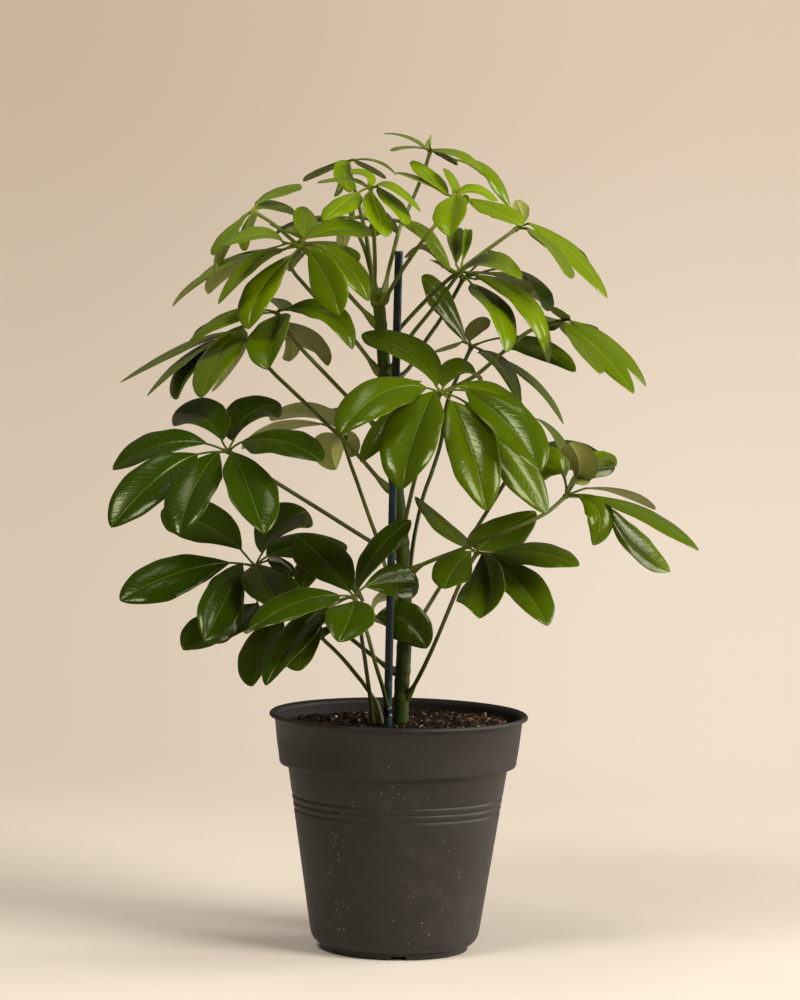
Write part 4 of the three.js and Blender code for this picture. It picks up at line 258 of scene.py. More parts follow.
         [-110.1, 5.9, 545.1, -97.7, 34, 554, -80.1, 51.3, 559.8, 11.8, -73, 66, 0.56, 0.57, 1, 1, 0],
         [-110.1, 7.7, 541.3, -99.7, 37.7, 544.5, -85, 56, 541.3, 11.8, -66, 65, 0.46, 0.68, 1, 1, 0],
     ]},
    {"hub": [31.6, -59, 552.9], "young": 0.95,
     "stalk": [[-16.5, -3, 476.1], [-13, -14.1, 482.8], [-7.7, -31.1, 492.8], [-2.2, -48.3, 502.5], [1.8, -59.1, 508.7], [5.7, -68.5, 514.8], [11.9, -78.1, 523.7], [18.3, -80.3, 532.2], [22.1, -77.4, 538.1], [25.6, -71.4, 544.2], [31.6, -59, 552.9]],
     "leaflets": [
         [27.7, -52.7, 555, 16.3, -24.3, 566.9, 2.3, -6.9, 579.3, 12.2, 64, -64, 0.51, 0.59, 1, 1, 0],
         [27.4, -52.7, 554.5, 6, -26.1, 567.2, -8.1, -9.7, 570.1, 12.2, 81, -81, 0.56, 0.56, 1, 1, 0],
         [31.6, -54.4, 556.5, 31.5, -29.7, 563.1, 28.9, -14.5, 572.3, 9.1, 59, -53, 0.59, 0.53, 1, 1, 0],
         [35.2, -61.7, 554.1, 46.5, -52.6, 563.8, 64.1, -47, 550.9, 12.2, -69, 75, 0.45, 0.56, 1, 1, 0],
         [42.5, -59, 552.3, 62.4, -87.9, 545.8, 79.5, -105.6, 534.8, 12.2, -52, 63, 0.63, 0.52, 1, 1, 0],
         [33.5, -66, 555.1, 30.9, -97.1, 544.1, 30, -116.2, 527.1, 14, 49, -8, 0.63, 0.53, 1, 1, 0],
         [34.9, -59, 550, 45, -70.9, 554.2, 39.3, -78.1, 545.5, 4.9, 75, -26, 0.55, 0.56, 1, 1, 0],
     ]},
    {"hub": [15.4, 30, 586.1], "young": 0.72,
     "stalk": [[-17.3, 1, 477.5], [-15.8, 3.3, 486.4], [-13.3, 4.1, 499.8], [-10, -3.8, 513.3], [-8, 9.7, 521.9], [-5.5, 14.9, 530.6], [-0.1, 18.4, 543.1], [5.2, 21.9, 555.8], [8.4, 24.2, 564.3], [11.6, 26.5, 572.9], [15.4, 30, 586.1]],
     "leaflets": [
         [13.5, 37, 586.4, -1.5, 63.8, 598.3, -19.1, 80.2, 598.1, 11.8, 84, -84, 0.56, 0.56, 1, 1, 0],
         [12.7, 23.3, 587.5, 0.5, -8.1, 589.4, -9.8, -27.4, 585.7, 11.8, 84, -84, 0.56, 0.56, 1, 1, 0],
         [15.2, 26.5, 587.2, 14.5, 11.5, 591.2, 13.9, 2.3, 595.4, 5.9, -42, 68, 0.61, 0.53, -1, 1, 0],
         [14.9, 22.9, 586.6, 34.7, -1.2, 587.4, 51.4, -15.9, 572.6, 11.8, -71, 79, 0.55, 0.54, 1, 1, 0],
         [17.5, 26.6, 586.5, 25.9, 8.5, 582.6, 33.6, -2.6, 576.1, 7.1, -68, 71, 0.56, 0.56, 1, 1, 0],
         [33.7, 30, 579.1, 63.5, 24.1, 583.7, 74.8, 20.5, 545.3, 11.8, -82, 54, 0.58, 0.68, 1, 1, 0],
     ]},
    {"hub": [-27.5, -54, 558.9], "young": 1,
     "stalk": [[-23.6, -5, 484.1], [-23.6, -8.9, 490.2], [-23.5, -14.8, 499.3], [-23.7, -20.7, 508.4], [-24, -24.6, 514.4], [-24.3, -28.5, 520.4], [-24.7, -34.4, 529.4], [-25.2, -40.3, 538.3], [-25.7, -44.2, 544.2], [-26.4, -48.1, 550.1], [-27.5, -54, 558.9]],
     "leaflets": [
         [-29.4, -47.3, 559.1, -44.2, -24.5, 567.1, -67.4, -10.6, 561.4, 11.3, 81, -81, 0.56, 0.56, 1, 1, 0],
         [-29.2, -49.6, 560.5, -27.1, -30, 568.6, -42.9, -18, 571.1, 7.9, 65, -59, 0.57, 0.54, 1, 1, 0],
         [-35.6, -54, 555.5, -43.8, -80.9, 551, -59.3, -97.4, 536, 11.3, 39, -53, 0.5, 0.63, 1, 1, 0],
         [-27.4, -60.7, 557, -22.9, -85.4, 541.8, -16.3, -100.5, 525.3, 11.3, -44, 44, 0.62, 0.51, 1, 1, 0],
         [-22.5, -59.4, 559.8, -8, -86.1, 548.6, -2.8, -102.5, 534.6, 11.3, -59, 62, 0.63, 0.5, 1, 1, 0],
         [-25.4, -60.7, 558.6, -15.6, -81.1, 568.2, 8.5, -93.6, 542.6, 11.3, -73, 78, 0.56, 0.54, 1, 1, 0],
     ]},
    {"hub": [-45.2, 44, 576.5], "young": 0.8,
     "stalk": [[-23.2, 1.5, 482.4], [-24.7, 4.9, 489.9], [-26.8, 10, 501.3], [-28.8, 15.1, 512.6], [-30.1, 18.5, 520.2], [-31.8, 21.9, 527.8], [-34.8, 27, 539], [-38, 32.1, 550.2], [-40.2, 35.5, 557.6], [-42.3, 38.9, 565.1], [-45.2, 44, 576.5]],
     "leaflets": [
         [-51.5, 48.1, 577.1, -63.5, 72.2, 570.1, -77.1, 86.9, 561.7, 10.5, 74, -71, 0.53, 0.59, -1, 1, 0],
         [-44.4, 37.9, 574.5, -50.6, 9.9, 568.7, -43.8, -7.3, 555.4, 10.5, -42, 46, 0.57, 0.52, 1, 1, 0],
         [-39.4, 47.8, 578, -29.8, 74.9, 573.6, -19.5, 91.5, 565, 10.5, -77, 71, 0.56, 0.58, -1, 1, 0],
         [-42.2, 38, 578, -25.1, 17.5, 582, -9.9, 4.9, 568.5, 10.5, -85, 85, 0.56, 0.56, 1, 1, 0],
         [-49.2, 44, 572.3, -47.3, 31.1, 561.4, -54.4, 23.3, 551.9, 6.3, -62, 66, 0.58, 0.55, 1, 1, 0],
     ]},
    {"hub": [-41.3, 50, 535.2], "young": 0.62,
     "stalk": [[-24.7, 7, 481.5], [-25.1, 9.6, 486], [-25.8, 13.5, 492.7], [-27.4, 17.3, 499.3], [-28.6, 20, 503.7], [-29.8, 22.8, 508], [-32.2, 27.6, 514.4], [-35.1, 33.3, 520.5], [-36.9, 37.7, 524.7], [-38.7, 42.4, 528.9], [-41.3, 50, 535.2]],
     "leaflets": [
         [-40.2, 53.8, 537.6, -40.4, 72.7, 538.9, -42.9, 84.3, 552.1, 7.3, -53, 68, 0.56, 0.55, 1, 1, 0],
         [-34.2, 50, 536.7, -24.9, 68.9, 544.3, -6.8, 80.5, 523.1, 9.7, -58, 62, 0.55, 0.55, -1, 1, 0],
         [-43.3, 55, 533, -48.8, 76.1, 530.4, -47.9, 89.1, 509.3, 9.1, 49, -56, 0.57, 0.55, -1, 1, 0],
         [-47.1, 56.5, 535.5, -65.8, 77.6, 537.3, -82.8, 99.6, 522.7, 12.2, 9, 9, 0.56, 0.56, 1, 1, 1],
         [-49.6, 48.2, 535.2, -76.3, 43.5, 537.4, -100.5, 37.2, 520.4, 12.2, 9, 9, 0.56, 0.56, 1, 1, 1],
         [-32.9, 48.2, 535.1, -4.9, 43.1, 536.4, 20.8, 36.8, 522.5, 12.2, 9, 9, 0.56, 0.56, 1, 1, 1],
         [-34.6, 50, 534.7, -24.8, 50.8, 536.4, -26, 51.7, 521, 12.2, 9, 9, 0.56, 0.56, 1, 1, 1],
     ]},
    {"hub": [-81.7, 45, 515.7], "young": 1,
     "stalk": [[-25.4, 9, 479.2], [-26, 16.5, 485.1], [-29.1, 28, 493.1], [-34.6, 39.7, 500.3], [-38.7, 47, 504.7], [-43.4, 53.3, 508.6], [-51.3, 59.7, 512.8], [-60.5, 60.8, 514.5], [-66.6, 58.5, 515.3], [-72.7, 54.1, 515.4], [-81.7, 45, 515.7]],
     "leaflets": [
         [-91.4, 67.3, 514.7, -155.8, 77, 495.2, -174.7, 82.6, 466.1, 18.5, 82, -82, 0.55, 0.54, -1, 1, 0],
         [-101.5, 45.3, 507.3, -138.2, 35.5, 508.2, -160.7, 30.2, 479.2, 18.5, 82, -82, 0.57, 0.55, 1, 1, 0],
         [-90, 53.2, 511.1, -134, 80.7, 506.3, -148, 97.6, 475.8, 18.5, 70, -67, 0.57, 0.6, -1, 1, 0],
         [-77.9, 57.2, 516, -63.9, 98.5, 518.2, -51.9, 135.1, 496.3, 18.5, 9, 9, 0.56, 0.56, 1, 1, 1],
         [-70.6, 44.7, 515.8, -49.6, 43.9, 516.7, -38.1, 44.1, 499.2, 15.7, 9, 9, 0.56, 0.56, 1, 1, 1],
         [-78.7, 57.2, 518.6, -88, 77.8, 528.6, -95.7, 100.2, 526.4, 15.7, 9, 9, 0.56, 0.56, 1, 1, 1],
         [-73.3, 35.3, 516.3, -52.8, 12.7, 515.7, -36.4, -6.8, 505, 12.9, 9, 9, 0.56, 0.56, 1, 1, 1],
     ]},
]


# ------------------------------------------------------------------ mesh helpers
class Build:
    """Collects vertices, faces and per-vertex attributes of one object."""

    def __init__(self):
        self.v, self.q, self.t, self.a, self.b, self.n = [], [], [], [], [], 0

    def add(self, verts, quads=None, tris=None, leaf=None, tone=None):
        verts = np.asarray(verts, float)
        k = len(verts)
        self.v.append(verts)
        if quads is not None and len(quads):
            self.q.append(np.asarray(quads, np.int64) + self.n)
        if tris is not None and len(tris):
            self.t.append(np.asarray(tris, np.int64) + self.n)
        self.a.append(np.zeros((k, 3)) if leaf is None else np.asarray(leaf, float))
        self.b.append(np.zeros((k, 3)) if tone is None else np.broadcast_to(np.asarray(tone, float), (k, 3)))
        self.n += k

    def make(self, name, material, smooth=True):
        v = np.vstack(self.v) * MM
        q = np.vstack(self.q) if self.q else np.zeros((0, 4), np.int64)
        t = np.vstack(self.t) if self.t else np.zeros((0, 3), np.int64)
        me = bpy.data.meshes.new(name)
        me.vertices.add(len(v))
        me.vertices.foreach_set("co", v.astype(np.float32).ravel())
        idx = np.concatenate([q.ravel(), t.ravel()]).astype(np.int32)
        me.loops.add(len(idx))
        me.loops.foreach_set("vertex_index", idx)
        me.polygons.add(len(q) + len(t))
        start = np.concatenate([np.arange(len(q)) * 4, len(q) * 4 + np.arange(len(t)) * 3]).astype(np.int32)
        me.polygons.foreach_set("loop_start", start)
        me.update(calc_edges=True)
        me.validate()
        me.polygons.foreach_set("use_smooth", np.full(len(me.polygons), smooth, bool))
        for label, rows in (("leaf", self.a), ("tone", self.b)):
            at = me.attributes.new(label, "FLOAT_VECTOR", "POINT")
            at.data.foreach_set("vector", np.vstack(rows).astype(np.float32).ravel())
        me.materials.append(material)
        ob = bpy.data.objects.new(name, me)
        bpy.context.scene.collection.objects.link(ob)
        return ob


def unit(v):
    return v / np.maximum(np.linalg.norm(v, axis=-1, keepdims=True), 1e-12)


def spline(points, step):
    """Catmull-Rom through points, resampled at about step mm."""
    p = np.asarray(points, float)
    e = np.vstack([2 * p[0] - p[1], p, 2 * p[-1] - p[-2]])
    out = []
    for i in range(1, len(e) - 2):
        t = np.linspace(0, 1, 12, endpoint=False)[:, None]
        a, b, c, d = e[i - 1], e[i], e[i + 1], e[i + 2]
        out.append(0.5 * (2 * b + (c - a) * t + (2 * a - 5 * b + 4 * c - d) * t**2 + (3 * b - a - 3 * c + d) * t**3))
    out = np.vstack(out + [p[-1:]])
    s = np.concatenate([[0], np.cumsum(np.linalg.norm(np.diff(out, axis=0), axis=1))])
    n = max(3, int(round(s[-1] / step)) + 1)
    w = np.linspace(0, s[-1], n)
    return np.stack([np.interp(w, s, out[:, k]) for k in range(3)], 1), w


def tube(b, pts, radius, sides, tone, arc=None, flat=None):
    """Closed tube. radius is one value per point. The leaf attribute carries angle and length."""
    pts = np.asarray(pts, float)
    n = len(pts)
    tan = unit(np.gradient(pts, axis=0))
    ref = np.array([0, 1.0, 0]) if abs(tan[0][1]) < 0.9 else np.array([1.0, 0, 0])
    rows = []
    for i in range(n):
        a = np.cross(tan[i], ref)
        a /= np.linalg.norm(a)
        c = np.cross(a, tan[i])
        ref = c
        w = np.linspace(0, 2 * np.pi, sides, endpoint=False)
        r = radius[i] if np.ndim(radius[i]) else np.full(sides, radius[i])
        rows.append(pts[i] + r[:, None] * (np.cos(w)[:, None] * a + np.sin(w)[:, None] * c))
    grid = np.stack(rows)
    v = np.vstack([grid.reshape(-1, 3), pts[:1], pts[-1:]])
    j = np.arange(sides)
    k = (j + 1) % sides
    quads = np.vstack([np.stack([i * sides + j, (i + 1) * sides + j, (i + 1) * sides + k, i * sides + k], 1) for i in range(n - 1)])
    lo, hi = n * sides, n * sides + 1
    tris = np.vstack([np.stack([np.full(sides, lo), j, k], 1), np.stack([np.full(sides, hi), (n - 1) * sides + k, (n - 1) * sides + j], 1)])
    length = arc if arc is not None else np.concatenate([[0], np.cumsum(np.linalg.norm(np.diff(pts, axis=0), axis=1))])
    at = np.zeros((len(v), 3))
    at[: n * sides, 0] = np.tile(j / sides, n)
    at[: n * sides, 1] = np.repeat(length, sides)
    at[lo, 1], at[hi, 1] = length[0], length[-1]
    at[: n * sides, 2] = np.repeat(np.linspace(0, 1, n), sides)
    at[hi, 2] = 1
    # Outward winding: the sign is checked against the centre line.
    f = quads[0]
    nrm = np.cross(v[f[1]] - v[f[0]], v[f[3]] - v[f[0]])
    if nrm @ (v[f[0]] - pts[0]) < 0:
        quads, tris = quads[:, ::-1], tris[:, ::-1]
    b.add(v, quads, tris, at, tone)


def lathe(b, profile, sides, tone=(0, 0, 0), centre=(0.0, 0.0)):
    """Closed body of revolution; the profile runs from the axis round the outside back to the axis."""
    p = np.asarray(profile, float)
    w = np.linspace(0, 2 * np.pi, sides, endpoint=False)
    v, rows = [], []
    for r, z in p:
        rows.append(len(v))
        if r < 1e-9:
            v.append([centre[0], centre[1], z])
        else:
            v += [[centre[0] + r * c, centre[1] + r * s, z] for c, s in zip(np.cos(w), np.sin(w))]
    quads, tris = [], []
    j = np.arange(sides)
    k = (j + 1) % sides
    for i in range(len(p) - 1):
        a, c = rows[i], rows[i + 1]
        if p[i][0] < 1e-9:
            tris.append(np.stack([np.full(sides, a), c + k, c + j], 1))
        elif p[i + 1][0] < 1e-9:
            tris.append(np.stack([a + j, a + k, np.full(sides, c)], 1))
        else:
            quads.append(np.stack([a + j, a + k, c + k, c + j], 1))
    v = np.array(v)
    b.add(v, np.vstack(quads), np.vstack(tris), None, tone)


def rounded(profile, radii, steps=4):
    """Replaces each listed corner of an open polyline with a small arc."""
    p = [np.array(a, float) for a in profile]
    out = [p[0]]
    for i in range(1, len(p) - 1):
        r = radii.get(i, 0.0)
        a, b, c = p[i - 1], p[i], p[i + 1]
        if not r:
            out.append(b)
            continue
        u, w = unit(a - b), unit(c - b)
        r = min(r, 0.45 * np.linalg.norm(a - b), 0.45 * np.linalg.norm(c - b))
        for t in np.linspace(0, 1, steps + 1):
            out.append((1 - t) ** 2 * (b + u * r) + 2 * t * (1 - t) * b + t * t * (b + w * r))
    out.append(p[-1])
    return [tuple(a) for a in out]


# ------------------------------------------------------------------ node helpers
class Nodes:
    def __init__(self, name):
        self.mat = bpy.data.materials.new(name)
        self.mat.use_nodes = True
        self.nt = self.mat.node_tree
        self.nt.nodes.clear()
        self.out = self.nt.nodes.new("ShaderNodeOutputMaterial")
        self.bsdf = self.nt.nodes.new("ShaderNodeBsdfPrincipled")
        self.nt.links.new(self.bsdf.outputs[0], self.out.inputs[0])
        self.coord = None

    def put(self, where, value):
        sock = where
        if isinstance(value, bpy.types.NodeSocket):
            self.nt.links.new(value, sock)
        elif isinstance(value, (tuple, list)) and len(value) == 3 and sock.type == "RGBA":
            sock.default_value = (*value, 1)
        else:
            sock.default_value = value

    def set(self, **kw):
        for k, v in kw.items():
            self.put(self.bsdf.inputs[k.replace("_", " ")], v)

    def attr(self, name):
        n = self.nt.nodes.new("ShaderNodeAttribute")
        n.attribute_name = name
        return n.outputs["Vector"]

    def xyz(self, v):
        n = self.nt.nodes.new("ShaderNodeSeparateXYZ")
        self.put(n.inputs[0], v)
        return n.outputs[0], n.outputs[1], n.outputs[2]

    def join(self, x, y, z):
        n = self.nt.nodes.new("ShaderNodeCombineXYZ")
        for i, a in enumerate((x, y, z)):
            self.put(n.inputs[i], a)
        return n.outputs[0]

    def obj(self):
        if self.coord is None:
            self.coord = self.nt.nodes.new("ShaderNodeTexCoord").outputs["Object"]
        return self.coord

    def math(self, op, a, b=None, c=None, clamp=False):
        n = self.nt.nodes.new("ShaderNodeMath")
        n.operation = op
        n.use_clamp = clamp
        for i, v in enumerate((a, b, c)):
            if v is not None:
                self.put(n.inputs[i], v)
        return n.outputs[0]

    def noise(self, scale, detail=2.0, rough=0.5, vector=None, distort=0.0, color=False):
        n = self.nt.nodes.new("ShaderNodeTexNoise")
        self.put(n.inputs["Vector"], self.obj() if vector is None else vector)
        n.inputs["Scale"].default_value = scale
        n.inputs["Detail"].default_value = detail
        n.inputs["Roughness"].default_value = rough
        n.inputs["Distortion"].default_value = distort
        return n.outputs["Color"] if color else n.outputs[0]

    def voronoi(self, scale, feature="F1", vector=None, rand=1.0):
        n = self.nt.nodes.new("ShaderNodeTexVoronoi")
        n.feature = feature
        self.put(n.inputs["Vector"], self.obj() if vector is None else vector)
        n.inputs["Scale"].default_value = scale
        n.inputs["Randomness"].default_value = rand
        return n.outputs["Distance"], (n.outputs["Color"] if feature == "F1" else None)

    def remap(self, v, a, b, c=0.0, d=1.0, smooth=False):
        n = self.nt.nodes.new("ShaderNodeMapRange")
        n.interpolation_type = "SMOOTHSTEP" if smooth else "LINEAR"
        for i, x in enumerate((v, a, b, c, d)):
            self.put(n.inputs[i], x)
        return n.outputs[0]

    def mix(self, f, a, b, mode="MIX"):
        n = self.nt.nodes.new("ShaderNodeMix")
        n.data_type = "RGBA"
        n.blend_type = mode
        self.put(n.inputs[0], f)
        self.put(n.inputs[6], a)
        self.put(n.inputs[7], b)
        return n.outputs[2]

    def mixf(self, f, a, b):
        n = self.nt.nodes.new("ShaderNodeMix")
        n.data_type = "FLOAT"
        self.put(n.inputs[0], f)
        self.put(n.inputs[2], a)
        self.put(n.inputs[3], b)
        return n.outputs[0]

    def bump(self, height, strength=1.0, distance=0.0003, normal=None):
        n = self.nt.nodes.new("ShaderNodeBump")
        n.inputs["Strength"].default_value = strength
        n.inputs["Distance"].default_value = distance
        self.put(n.inputs["Height"], height)
        if normal is not None:
            self.put(n.inputs["Normal"], normal)
        return n.outputs[0]


def srgb(r, g, b):
    f = lambda c: (c / 255 / 12.92) if c / 255 <= 0.04045 else ((c / 255 + 0.055) / 1.055) ** 2.4
    return (f(r), f(g), f(b))


# ------------------------------------------------------------------ materials
def leaf_material(name, young):
    """Leathery leaflets: glossy green above with a pale midrib, margin and sunken veins, dull and pale below."""
    m = Nodes(name)
    d, along, s = m.xyz(m.attr("leaf"))
    # tone.z carries youth, which is leaf age and also painted light and shade: per leaf it lightens or darkens the
    # colour below
    side, rand, youth_and_painted_light = m.xyz(m.attr("tone"))
    stalk = m.remap(youth_and_painted_light, 1.5, 1.6)
    blade_youth_and_painted_light = m.math("SUBTRACT", youth_and_painted_light, m.math("MULTIPLY", stalk, 2.0))
    ad, as_ = m.math("ABSOLUTE", d), m.math("ABSOLUTE", s)
    soft = m.noise(38, 3, 0.55)
    fine = m.noise(260, 3, 0.6)
    # upper side
    dark = m.mix(rand, C["mature_a"], C["mature_b"])
    light = m.mix(rand, C["young_a"], C["young_b"])
    base = m.mix(blade_youth_and_painted_light, dark, light)
    base = m.mix(m.remap(soft, 0.35, 0.7, 0.0, 0.45), base, m.mix(blade_youth_and_painted_light, C["mature_c"], C["young_c"]))
    base = m.mix(m.remap(fine, 0.3, 0.7, 0.0, 0.18), base, m.mix(blade_youth_and_painted_light, C["mature_d"], C["young_d"]))
    # lateral veins leave the midrib at an angle and curve towards the tip
    wob = m.math("MULTIPLY", m.math("SUBTRACT", m.noise(90, 2, 0.5), 0.5), 5.5)
    ph = m.math("ADD", m.math("SUBTRACT", along, m.math("MULTIPLY", ad, 0.85)), wob)
    ph = m.math("ADD", m.math("DIVIDE", ph, 5.6), m.math("MULTIPLY", rand, 7.3))
    tri = m.math("ABSOLUTE", m.math("SUBTRACT", m.math("FRACT", ph), 0.5))
    vein = m.math("MULTIPLY", m.remap(tri, 0.17, 0.0, 0.0, 1.0, True), m.remap(as_, 0.92, 0.45))
    cell, _ = m.voronoi(430, "DISTANCE_TO_EDGE")
    net = m.remap(cell, 0.0, 0.16, 1.0, 0.0)
    rib_w = m.math("MULTIPLY", m.remap(s, 0, 1, 1, 1), 0.42)
    rib = m.remap(ad, 0.62, 0.28, 0.0, 1.0, True)
    rim = m.remap(as_, 0.965, 0.99, 0.0, 1.0, True)
    top = m.mix(m.math("MULTIPLY", vein, 0.09), base, C["vein"])
    top = m.mix(m.math("MULTIPLY", rib, m.remap(blade_youth_and_painted_light, 0.0, 0.8, 0.42, 0.5)), top, m.mix(blade_youth_and_painted_light, C["midrib_old"], C["midrib"]))
    top = m.mix(m.math("MULTIPLY", rim, m.remap(blade_youth_and_painted_light, 0.0, 0.8, 0.35, 0.6)), top, C["margin"])
    # lower side
    low = m.mix(blade_youth_and_painted_light, C["under_mature"], C["under_young"])
    low = m.mix(m.remap(soft, 0.3, 0.7, 0.0, 0.4), low, m.mix(blade_youth_and_painted_light, C["under_mature2"], C["under_young2"]))
    low = m.mix(m.math("MULTIPLY", vein, 0.25), low, C["under_vein"])
    low = m.mix(m.math("MULTIPLY", m.remap(ad, 1.2, 0.5, 0.0, 1.0, True), 0.7), low, C["under_vein"])
    blade = m.mix(side, low, top)
    # petiolules and hub
    stem = m.mix(blade_youth_and_painted_light, C["stalk_a"], C["stalk_b"])
    stem = m.mix(m.remap(soft, 0.35, 0.7, 0.0, 0.5), stem, C["stalk_c"])
    m.set(Base_Color=m.mix(stalk, blade, stem))
    rough_top = m.math("ADD", m.remap(soft, 0.3, 0.7, 0.13, 0.23), m.math("MULTIPLY", vein, 0.04))
    rough = m.mixf(side, 0.62, rough_top)
    m.set(Roughness=m.mixf(stalk, rough, 0.45))
    m.bsdf.inputs["Specular IOR Level"].default_value = 0.28
    m.bsdf.inputs["Specular Tint"].default_value = (0.95, 1.0, 0.62, 1)
    # relief: sunken veins above, raised below, and the network between them
    relief = m.math("ADD", m.math("MULTIPLY", vein, -0.28), m.math("MULTIPLY", net, -0.10))
    relief = m.math("ADD", relief, m.math("MULTIPLY", m.noise(110, 3, 0.55), 1.3))
    relief = m.math("MULTIPLY", relief, m.mixf(side, -0.7, 1.0))
    relief = m.math("MULTIPLY", relief, m.math("SUBTRACT", 1.0, stalk))
    m.set(Normal=m.bump(relief, 1.0, 0.00013 if not young else 0.00008))
    return m.mat


def stalk_material():
    m = Nodes("stalk_green")
    ang, along, frac = m.xyz(m.attr("leaf"))
    kind, rand, youth_and_painted_light = m.xyz(m.attr("tone"))
    streak = m.noise(1.0, 3, 0.6, m.join(m.math("MULTIPLY", ang, 9.0), m.math("MULTIPLY", along, 0.05), rand))
    base = m.mix(youth_and_painted_light, C["stalk_a"], C["stalk_b"])
    base = m.mix(m.remap(streak, 0.35, 0.65, 0.0, 0.6), base, C["stalk_c"])
    base = m.mix(m.remap(frac, 0.10, 0.0, 0.0, 0.55), base, C["sheath"])
    base = m.mix(m.remap(m.noise(900, 2, 0.5), 0.62, 0.72, 0.0, 0.35), base, C["lenticel"])
    m.set(Base_Color=base, Roughness=m.remap(streak, 0.3, 0.7, 0.38, 0.52))
    m.set(Normal=m.bump(m.math("ADD", streak, m.math("MULTIPLY", m.noise(700, 2, 0.5), 0.5)), 1.0, 0.00012))
    return m.mat


def stem_material():
    m = Nodes("bark")
    ang, along, frac = m.xyz(m.attr("leaf"))
    scar, rand, youth_and_painted_light = m.xyz(m.attr("tone"))
    streak = m.noise(1.0, 4, 0.62, m.join(m.math("MULTIPLY", m.math("SINE", m.math("MULTIPLY", ang, 6.2832)), 3.0), m.math("MULTIPLY", along, 0.045), m.math("MULTIPLY", m.math("COSINE", m.math("MULTIPLY", ang, 6.2832)), 3.0)))
    base = m.mix(m.remap(along, 20, 330), C["stem_low"], C["stem_top"])
    base = m.mix(m.remap(streak, 0.4, 0.68, 0.0, 0.7), base, C["stem_bark"])
    spots, _ = m.voronoi(260, "F1")
    len_ = m.math("MULTIPLY", m.remap(spots, 0.17, 0.11), m.remap(m.noise(60, 1, 0.5), 0.5, 0.58))
    base = m.mix(m.math("MULTIPLY", len_, 0.6), base, C["lenticel"])
    base = m.mix(m.math("MULTIPLY", scar, 0.65), base, C["scar"])
    m.set(Base_Color=base, Roughness=m.remap(streak, 0.3, 0.7, 0.42, 0.62))
    m.bsdf.inputs["Specular IOR Level"].default_value = 0.25
    h = m.math("ADD", m.math("MULTIPLY", streak, 1.4), m.math("MULTIPLY", len_, 0.8))
    m.set(Normal=m.bump(h, 1.0, 0.0003))
    return m.mat


def pot_material():
    """Moulded polypropylene: matt charcoal with a faint grain, scuffs, dust specks and a dry water mark."""
    m = Nodes("pot_plastic")
    x, y, z = m.xyz(m.obj())
    grain = m.noise(1700, 2, 0.5)
    cloud = m.noise(14, 4, 0.6)
    base = m.mix(m.remap(cloud, 0.35, 0.65), C["pot_a"], C["pot_b"])
    speck, _ = m.voronoi(210, "F1")
    keep = m.remap(m.noise(33, 2, 0.6), 0.56, 0.63)
    dots = m.math("MULTIPLY", m.remap(speck, 0.13, 0.07), keep)
    tiny, _ = m.voronoi(520, "F1")
    dots2 = m.math("MULTIPLY", m.remap(tiny, 0.12, 0.06), m.remap(m.noise(55, 2, 0.6), 0.6, 0.66))
    stretch = m.join(m.math("MULTIPLY", x, 1.0), m.math("MULTIPLY", y, 1.0), m.math("MULTIPLY", z, 0.16))
    scuff = m.noise(330, 4, 0.7, stretch)
    scuff = m.math("MULTIPLY", m.remap(scuff, 0.6, 0.72), m.remap(m.noise(22, 2, 0.5), 0.52, 0.66))
    haze = m.math("MULTIPLY", m.remap(m.noise(70, 5, 0.7), 0.5, 0.75), m.remap(m.noise(17, 2, 0.5), 0.5, 0.64))
    dust = m.math("MAXIMUM", m.math("MULTIPLY", dots, 0.55), m.math("MULTIPLY", dots2, 0.45))
    dust = m.math("MAXIMUM", dust, m.math("MULTIPLY", scuff, 0.14))
    dust = m.math("MAXIMUM", dust, m.math("MULTIPLY", haze, 0.045))
    base = m.mix(dust, base, C["dust"])
    # painted shade: the inner wall near the top, above the soil, is mixed towards the dark peat colour and made
    # rougher, standing in for the shade inside the rim
    rad = m.math("SQRT", m.math("ADD", m.math("MULTIPLY", x, x), m.math("MULTIPLY", y, y)))
    wall = m.math("ADD", m.math("MULTIPLY", m.math("SUBTRACT", z, 0.140), 0.109), 0.0862)
    painted_inner_shade = m.math("MULTIPLY", m.remap(m.math("SUBTRACT", wall, rad), 0.0, 0.0004), m.remap(z, 0.1500, 0.1510))
    base = m.mix(m.math("MULTIPLY", painted_inner_shade, m.remap(m.noise(60, 3, 0.6), 0.3, 0.7, 0.70, 0.95)), base, C["peat_and_inner_wall_shade"])
    m.set(Base_Color=base)
    m.set(Roughness=m.math("ADD", m.math("ADD", m.remap(cloud, 0.3, 0.7, 0.46, 0.56), m.math("MULTIPLY", dust, 0.5)), m.math("MULTIPLY", painted_inner_shade, 0.3)))
    m.bsdf.inputs["Specular IOR Level"].default_value = 0.36
    # faint turning lines of the mould and a fine grain
    lines = m.math("SINE", m.math("MULTIPLY", z, 5200.0))
    h = m.math("ADD", m.math("MULTIPLY", grain, 1.0), m.math("MULTIPLY", lines, 0.10))
    h = m.math("ADD", h, m.math("MULTIPLY", m.noise(60, 2, 0.5), 2.0))
    m.set(Normal=m.bump(h, 1.0, 0.00010))
    return m.mat


def stake_material():
    m = Nodes("stake_coating")
    ang, along, frac = m.xyz(m.attr("leaf"))
    cloud = m.noise(55, 3, 0.6)
    base = m.mix(m.remap(cloud, 0.35, 0.65), C["stake_a"], C["stake_b"])
    dust = m.math("MULTIPLY", m.remap(m.noise(420, 3, 0.6), 0.6, 0.7), m.remap(frac, 0.45, 0.2, 0.05, 0.4))
    base = m.mix(dust, base, C["dust"])
    m.set(Base_Color=base, Roughness=m.remap(cloud, 0.3, 0.7, 0.30, 0.42))
    lines = m.math("SINE", m.math("MULTIPLY", ang, 6.2832 * 6))
    h = m.math("ADD", m.math("MULTIPLY", lines, 0.5), m.math("MULTIPLY", m.noise(300, 2, 0.5), 0.7))
    m.set(Normal=m.bump(h, 1.0, 0.00012))
    return m.mat


